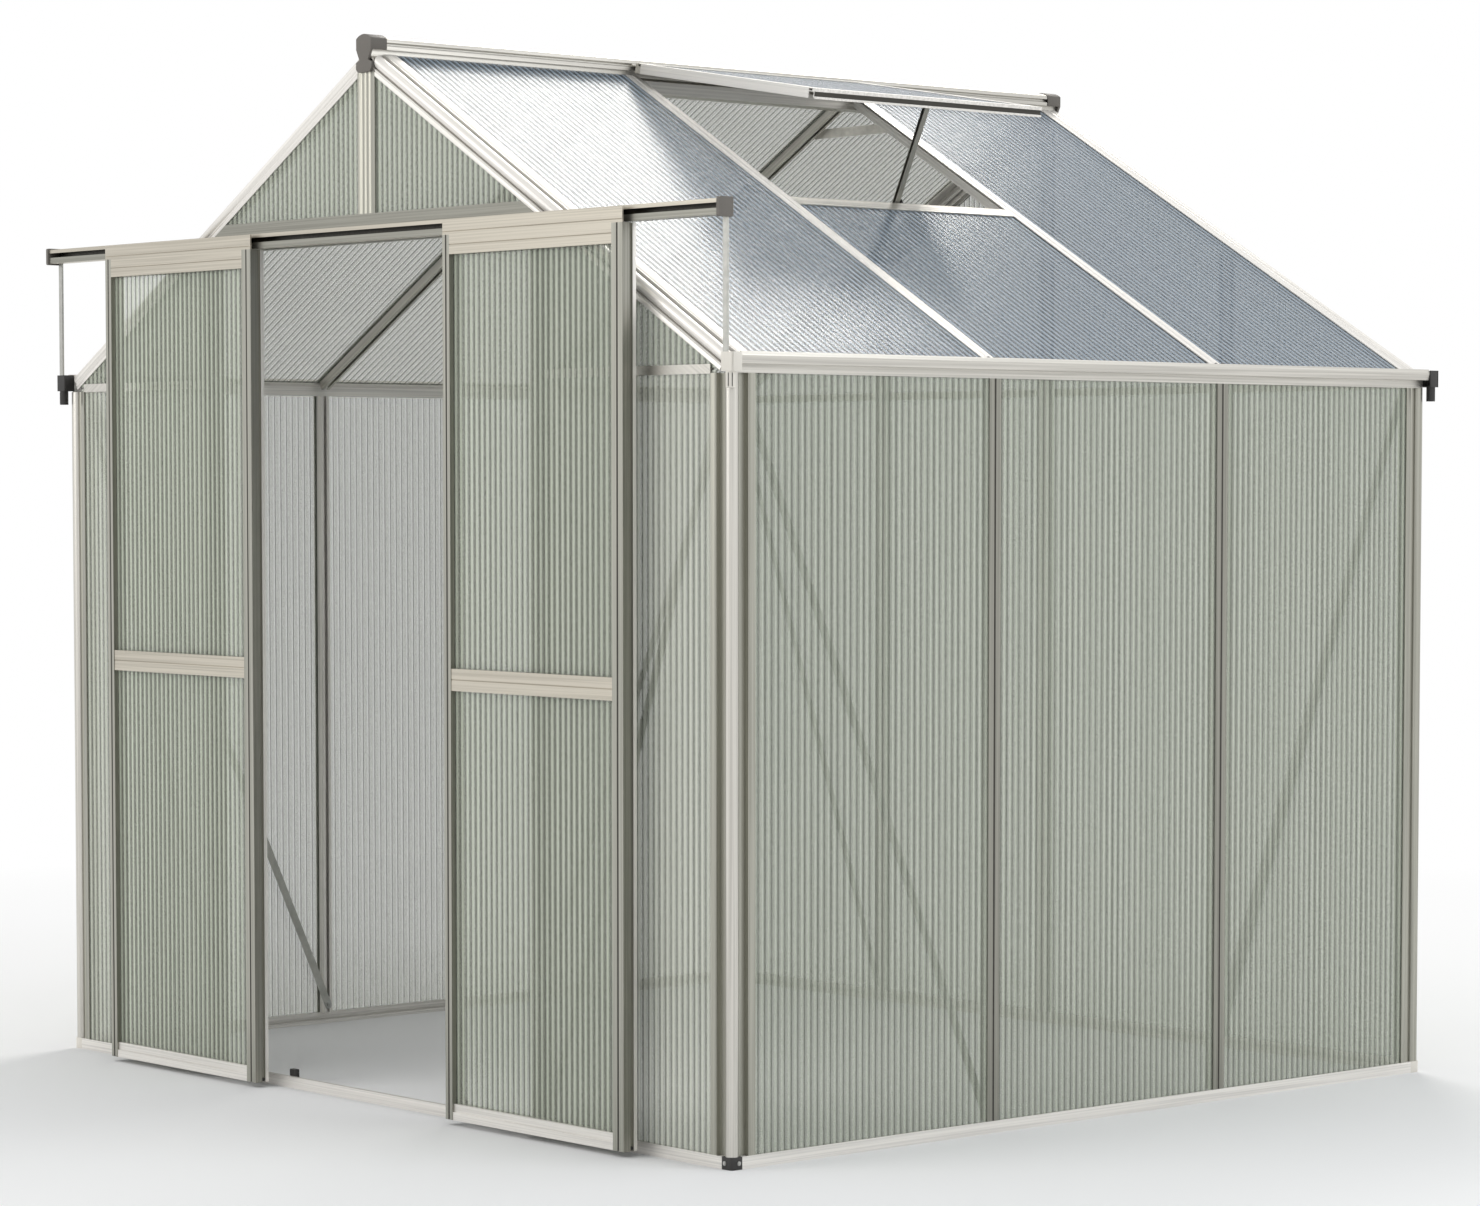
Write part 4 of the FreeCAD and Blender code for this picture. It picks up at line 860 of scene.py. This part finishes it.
class GREENHOUSE_OT_strips(bpy.types.Operator):
    """Give the braces, ties, struts and the stay their strip finish, with painted light on the collar ties
    and painted shade on the stay
    """
    bl_idname = "greenhouse.strips"
    bl_label = "Strips and stay"

    def execute(self, context):
        settings = context.scene.greenhouse_metal
        finish = strip_metal("strip_metal", settings.strip, settings)
        # Painted light: the collar ties take the pale sill tone.
        pale = strip_metal("pale_strip", settings.sill, settings)
        # Painted shade: the stay takes the darker side tone, and near black inside its channel below.
        dark = strip_metal("dark_strip", settings.flank, settings)
        for node, slot in slot_of.items():
            if slot == "strip_metal":
                paint(node, pale if node == "collar_ties" else finish)
        channel = joined("vent_stay_channel", [smooth(solid) for solid in solids_of("vent_stay")], [dark])
        near = corners(channel)[0].y
        inside = strip_metal("strip_shade", settings.groove, settings)
        recolour(channel, inside, lambda face: face.normal.y < -FACING and face.center.y > near + SLOT_DEPTH)
        show("vent_stay_channel", channel, body_of["vent_stay"], ["vent_stay"])
        return {"FINISHED"}


class GREENHOUSE_OT_sheets(bpy.types.Operator):
    """Build the twin-wall sheets with their ribs in place of the plain slabs"""
    bl_idname = "greenhouse.sheets"
    bl_label = "Twin-wall sheets"

    def execute(self, context):
        settings = context.scene.greenhouse_sheets
        recipe = sheet_recipe()
        wall_tint, wall_opacity = settings.wall_tint, settings.wall_opacity

        def skin_of(name, tint, axis, depth, opacity=wall_opacity, roughness=0.3):
            return sheet_skin(name, tint, opacity, axis, settings.rib_pitch, depth, roughness)

        end_wall = skin_of("end_wall_sheet", wall_tint, axis=0, depth=0.65)
        corner = skin_of("corner_sheet", settings.corner_tint, axis=0, depth=0.5)
        side_wall = skin_of("side_wall_sheet", wall_tint, axis=1, depth=0.5)
        plain_roof = skin_of("plain_roof_sheet", settings.slope_lit_tint, axis=1, depth=0.9)
        vented_roof = skin_of("vented_roof_sheet", settings.roof_sky_tint, axis=1, depth=1.0,
                              opacity=settings.roof_opacity, roughness=0.25)
        wall_back = sheet_back("wall_sheet_back", wall_tint, wall_opacity)
        slope_back = sheet_back("slope_sheet_back", settings.slope_lit_tint, wall_opacity)
        roof_back = sheet_back("roof_sheet_back", settings.roof_sky_tint, settings.roof_opacity)
        wall_rib = sheet_rib("wall_sheet_rib", settings.rib_tint, settings.rib_opacity)
        roof_rib = sheet_rib("roof_sheet_rib", settings.roof_rib_tint, settings.rib_opacity)
        for node, slot in slot_of.items():
            if slot != "twin_wall_sheet":
                continue
            skin, back, rib = end_wall, wall_back, wall_rib
            if node.startswith(("right_roof", "vent")):
                skin, back, rib = vented_roof, roof_back, roof_rib
            elif node == "left_roof_panels":
                skin, back = plain_roof, slope_back
            elif node == "front_wall_panels":
                skin = corner
            elif node.startswith(("left", "right")) and "door" not in node:
                skin = side_wall
            sheets = [twin_wall(slab, recipe, settings, skin, back, rib) for slab in solids_of(node)]
            show(node + "_ribbed", joined(node + "_ribbed", sheets), body_of[node], [node])
        return {"FINISHED"}


class GREENHOUSE_OT_trim(bpy.types.Operator):
    """Round the edges of the moulded caps, plugs, clips and outlets and give them their plastic"""
    bl_idname = "greenhouse.trim"
    bl_label = "Plastic trim"

    def execute(self, context):
        settings = context.scene.greenhouse_trim
        dark = plastic("dark_plastic", settings.dark)
        black = plastic("black_plastic", settings.black)
        nylon = plastic("nylon", settings.nylon)
        pale = plastic("pale_plastic", settings.pale)
        for node, slot in slot_of.items():
            if slot not in ("roller_nylon", "dark_plastic", "outlet_plastic"):
                continue
            width = settings.roller_edge if slot == "roller_nylon" else settings.round_edge
            solids = [rounded(solid, width) for solid in solids_of(node)]
            finish = dark
            if slot == "roller_nylon":
                finish = nylon
            elif node in ("base_corner_plugs", "threshold_clips", "gutter_outlets"):
                finish = black
            solids.sort(key=front_right)
            finishes = [finish] * len(solids)
            if node == "gutter_outlets":
                finishes[-1] = pale
            elif node == "base_corner_plugs":
                finishes[:-1] = [pale] * (len(solids) - 1)
            mesh = joined(node + "_moulded", solids, finishes)
            show(node + "_moulded", mesh, body_of[node], [node])
        self.show_vent_sill(black)
        return {"FINISHED"}

    def show_vent_sill(self, black):
        """Copy of the sill that the vent closes on, with the holder of its peg in plastic."""
        def length(solid):
            low, high = corners(solid)
            return high.y - low.y

        holder, sill = sorted(solids_of("vent_sill"), key=length)
        metal = nodes["vent_sill"].material_slots[0].material
        mesh = joined("vent_sill_fitted", [sill, smooth(holder)], [metal, black])
        show("vent_sill_fitted", mesh, "frame", ["vent_sill"])


class GREENHOUSE_OT_fasteners(bpy.types.Operator):
    """Set the nuts, bolts, clips, screws and plugs, and the slits of the spouts"""
    bl_idname = "greenhouse.fasteners"
    bl_label = "Fasteners"

    def execute(self, context):
        settings = context.scene.greenhouse_metal
        trim = context.scene.greenhouse_trim
        zinc = strip_metal("zinc", settings.zinc, settings)
        black = plastic("black_fittings", trim.black)
        nut = stud_recipe("nuts", (
            Layer(corners=16, radius=1.5, start=0.0, height=0.25),
            Layer(corners=6, radius=1.0, start=0.25, height=0.8),
            Layer(corners=10, radius=0.5, start=1.05, height=0.5)))
        head = stud_recipe("heads", (
            Layer(corners=14, radius=1.0, start=0.0, height=0.55),
            Layer(corners=14, radius=0.72, start=0.55, height=0.45)))
        wedge = stud_recipe("wedges", (Layer(corners=3, radius=1.0, start=0.0, height=1.0),))
        slit = stud_recipe("slits", (Layer(corners=4, radius=1.0, start=0.0, height=1.0),))
        self.set_studs("brace_nuts", nut, self.nut_spots(), settings.nut_radius, settings.nut_height, zinc)
        bolts, clips = self.bar_feet()
        radius = settings.bolt_radius
        self.set_studs("roof_bar_bolts", head, bolts, radius, radius * BOLT_HEIGHT, black)
        self.set_studs("roof_clips", wedge, clips, radius * CLIP_RADIUS, radius * CLIP_HEIGHT, black)
        radius = settings.screw_radius
        self.set_studs("base_screws", head, self.screw_spots(), radius, radius * SCREW_HEIGHT, zinc)
        # Painted shade: black studs stand for the dark inside of the slits in the spouts.
        self.set_studs("spout_slit_shades", slit, self.slit_spots(), trim.slit_radius, trim.slit_height, black)
        for side in ("left", "right"):
            spots = self.plug_spots(side + "_door_stiles")
            self.set_studs(side + "_stile_plugs", head, spots, trim.plug_radius, trim.plug_height, black,
                           side + "_door")
        return {"FINISHED"}

    def set_studs(self, name, recipe, spots, radius, height, finish, body="frame"):
        mesh = recipe.make(spots_mesh(spots), {"Radius": radius, "Height": height, "Finish": finish})
        show(name, smooth(mesh), body)

    def nut_spots(self):
        """Both ends of every brace and collar tie, on the inner face."""
        middle = (cad_box[0] + cad_box[1]) / 2
        spots = []
        for node, axis in (("side_wall_braces", 0), ("end_wall_braces", 1)):
            for solid in solids_of(node):
                low, high = corners(solid)
                inward = Vector((0, 0, 0))
                inward[axis] = -1.0 if low[axis] > middle[axis] else 1.0
                face = low[axis] if inward[axis] < 0 else high[axis]
                for end, edge in ((low.z, 1), (high.z, -1)):
                    tips = [vert.co for vert in solid.vertices if abs(vert.co.z - end) < TIP_BAND]
                    spot = sum(tips, Vector()) / len(tips)
                    spot[axis] = face
                    spot.z = end + edge * NUT_INSET
                    spots.append((spot, inward))
        for solid in solids_of("collar_ties"):
            low, high = corners(solid)
            for x in (low.x + TIE_INSET, high.x - TIE_INSET):
                spots.append((Vector((x, high.y, (low.z + high.z) / 2)), Vector((0, 1, 0))))
        return spots

    def bar_feet(self):
        """Spots of the bolt on the foot of each roof bar, and of the clip beside it."""
        bolts = []
        clips = []
        for node, side in (("left_roof_bars", -1), ("right_roof_bars", 1)):
            up_slope = Vector((-side * math.cos(ROOF_PITCH), 0, math.sin(ROOF_PITCH)))
            out = Vector((side * math.sin(ROOF_PITCH), 0, math.cos(ROOF_PITCH)))
            for solid in solids_of(node):
                reach = max(abs(vert.co.x) for vert in solid.vertices)
                edge = [vert.co for vert in solid.vertices if reach - abs(vert.co.x) < FOOT_BAND]
                foot = sum(edge, Vector()) / len(edge)
                bolts.append((foot + up_slope * BOLT_INSET, out))
                clips.append((foot + up_slope * CLIP_INSET + Vector((0, CLIP_SHIFT, 0)), out))
        return bolts, clips

    def screw_spots(self):
        """On both outer faces beside the front right plug of the base."""
        plug = max(solids_of("base_corner_plugs"), key=front_right)
        low, high = corners(plug)
        corner = outer_corner(plug)
        spots = []
        for axis in (0, 1):
            spot = Vector((corner[0], corner[1], (low.z + high.z) / 2))
            facing = Vector((0, 0, 0))
            facing[axis] = math.copysign(1.0, corner[axis])
            spot[1 - axis] -= math.copysign(SCREW_INSET, corner[1 - axis])
            spots.append((spot, facing))
        return spots

    def slit_spots(self):
        """Two upright slits in each spout, on either side of its outer corner, as black studs: painted shade
        for the dark inside of each slit.
        """
        spots = []
        for solid in solids_of("gutter_outlets"):
            low = corners(solid)[0]
            foot = [vert.co for vert in solid.vertices if vert.co.z < low.z + SPOUT_BAND]
            middle = sum(foot, Vector()) / len(foot)
            radius = max((place - middle).length for place in foot) - SLIT_SUNK
            for angle in SLIT_ANGLES:
                spot = middle.copy()
                spot.x += math.copysign(radius * math.cos(angle), middle.x)
                spot.y += math.copysign(radius * math.sin(angle), middle.y)
                spot.z = low.z + SLIT_LIFT
                spots.append((spot, Vector((0, 0, 1))))
        return spots

    def plug_spots(self, node):
        """In the foot of the groove along each stile's outer side."""
        solids = solids_of(node)
        middle = sum((corners(solid)[0].x + corners(solid)[1].x for solid in solids)) / (2 * len(solids))
        spots = []
        for solid in solids:
            low, high = corners(solid)
            outward = 1 if low.x > middle else -1
            edge = high.x if outward > 0 else low.x
            spot = Vector((edge - outward * PLUG_DEPTH, high.y - PLUG_BACK, low.z + PLUG_LIFT))
            spots.append((spot, Vector((outward, 0, 0))))
        return spots


class GREENHOUSE_OT_stage(bpy.types.Operator):
    """Set the pale floor, the white surround, the soft lights and the camera"""
    bl_idname = "greenhouse.stage"
    bl_label = "Stage"

    def execute(self, context):
        scene = context.scene
        settings = scene.greenhouse_stage
        self.lay_floor(scene, settings)
        self.light(scene, settings)
        camera = bpy.data.objects.new("camera", bpy.data.cameras.new("camera"))
        scene.collection.objects.link(camera)
        camera.location = settings.camera_place
        camera.rotation_euler = settings.camera_turn
        camera.data.lens = settings.lens
        camera.data.shift_y = settings.rise
        scene.camera = camera
        scene.view_settings.view_transform = "Standard"
        scene.cycles.max_bounces = 6
        scene.cycles.diffuse_bounces = 2
        scene.cycles.glossy_bounces = 3
        scene.cycles.transparent_max_bounces = 64
        scene.cycles.caustics_reflective = False
        scene.cycles.caustics_refractive = False
        return {"FINISHED"}

    def seen(self, graph):
        """1 for rays that the camera, a gloss or a clear surface sends."""
        path = graph.add("ShaderNodeLightPath")
        total = path["Is Camera Ray"] + path["Is Glossy Ray"] + path["Is Transmission Ray"]
        return total.math("MINIMUM", total, 1.0)

    def lay_floor(self, scene, settings):
        """Disc that is floor near the house and plain white further out."""
        mesh = bpy.data.meshes.new("floor")
        disc = bmesh.new()
        bmesh.ops.create_circle(disc, cap_ends=True, segments=96, radius=FLOOR_RADIUS)
        disc.to_mesh(mesh)
        disc.free()
        finish = Finish("floor")
        distance = finish.add("ShaderNodeVectorMath", {"operation": "LENGTH"}, {0: finish.place()}, "Value")
        start, end = FLOOR_FADE
        white = finish.ramp((distance - start) / (end - start), (0.0, 0.0), (1.0, 1.0))
        finish.surface({"Base Color": settings.floor, "Roughness": 0.9, "Specular IOR Level": 0.0})
        glow = finish.add("ShaderNodeEmission", None, {"Color": (1, 1, 1, 1), "Strength": 1.0})
        mixed = finish.add("ShaderNodeMixShader", None, {
            0: white * self.seen(finish), 1: Value(finish, finish.shader.outputs[0]), 2: glow})
        finish.feed(finish.tree.nodes["Material Output"].inputs["Surface"], mixed)
        mesh.materials.append(finish.material)
        floor = bpy.data.objects.new("floor", mesh)
        scene.collection.objects.link(floor)

    def light(self, scene, settings):
        world = bpy.data.worlds.new("surround")
        world.use_nodes = True
        scene.world = world
        graph = Graph(world.node_tree)
        world.node_tree.nodes.clear()
        ambient = graph.add("ShaderNodeBackground", None, {"Color": settings.sky, "Strength": 1.0})
        white = graph.add("ShaderNodeBackground", None, {"Color": (1, 1, 1), "Strength": 1.0})
        mixed = graph.add("ShaderNodeMixShader", None, {0: self.seen(graph), 1: ambient, 2: white})
        graph.add("ShaderNodeOutputWorld", None, {"Surface": mixed})
        for kind in LAMPS:
            lamp = bpy.data.lights.new(kind.name, "AREA")
            lamp.size = kind.size
            lamp.energy = kind.power
            lamp.color = kind.tint
            stand = bpy.data.objects.new(kind.name, lamp)
            scene.collection.objects.link(stand)
            stand.location = kind.place
            stand.rotation_euler = (LAMP_TARGET - Vector(kind.place)).to_track_quat("-Z", "Y").to_euler()


class GREENHOUSE_PT_panel(bpy.types.Panel):
    """Steps that finish the greenhouse"""
    bl_label = "Greenhouse"
    bl_idname = "GREENHOUSE_PT_panel"
    bl_space_type = "VIEW_3D"
    bl_region_type = "UI"
    bl_category = "Greenhouse"

    def draw(self, context):
        for operator in OPERATORS:
            self.layout.operator(operator.bl_idname)
        for name in SETTINGS:
            group = getattr(context.scene, name)
            box = self.layout.box()
            for key in group.__annotations__:
                box.prop(group, key)


SETTINGS = {
    "greenhouse_metal": MetalSettings,
    "greenhouse_sheets": SheetSettings,
    "greenhouse_trim": TrimSettings,
    "greenhouse_stage": StageSettings,
}
OPERATORS = (
    GREENHOUSE_OT_extrusions,
    GREENHOUSE_OT_strips,
    GREENHOUSE_OT_sheets,
    GREENHOUSE_OT_trim,
    GREENHOUSE_OT_fasteners,
    GREENHOUSE_OT_stage,
)


def register():
    for name, group in SETTINGS.items():
        bpy.utils.register_class(group)
        setattr(bpy.types.Scene, name, PointerProperty(type=group))
    for cls in OPERATORS + (GREENHOUSE_PT_panel,):
        bpy.utils.register_class(cls)


def unregister():
    for cls in reversed(OPERATORS + (GREENHOUSE_PT_panel,)):
        bpy.utils.unregister_class(cls)
    for name, group in SETTINGS.items():
        delattr(bpy.types.Scene, name)
        bpy.utils.unregister_class(group)


def main():
    register()
    bpy.ops.greenhouse.extrusions()
    bpy.ops.greenhouse.strips()
    bpy.ops.greenhouse.sheets()
    bpy.ops.greenhouse.trim()
    bpy.ops.greenhouse.fasteners()
    bpy.ops.greenhouse.stage()


if __name__ == "__main__":
    main()
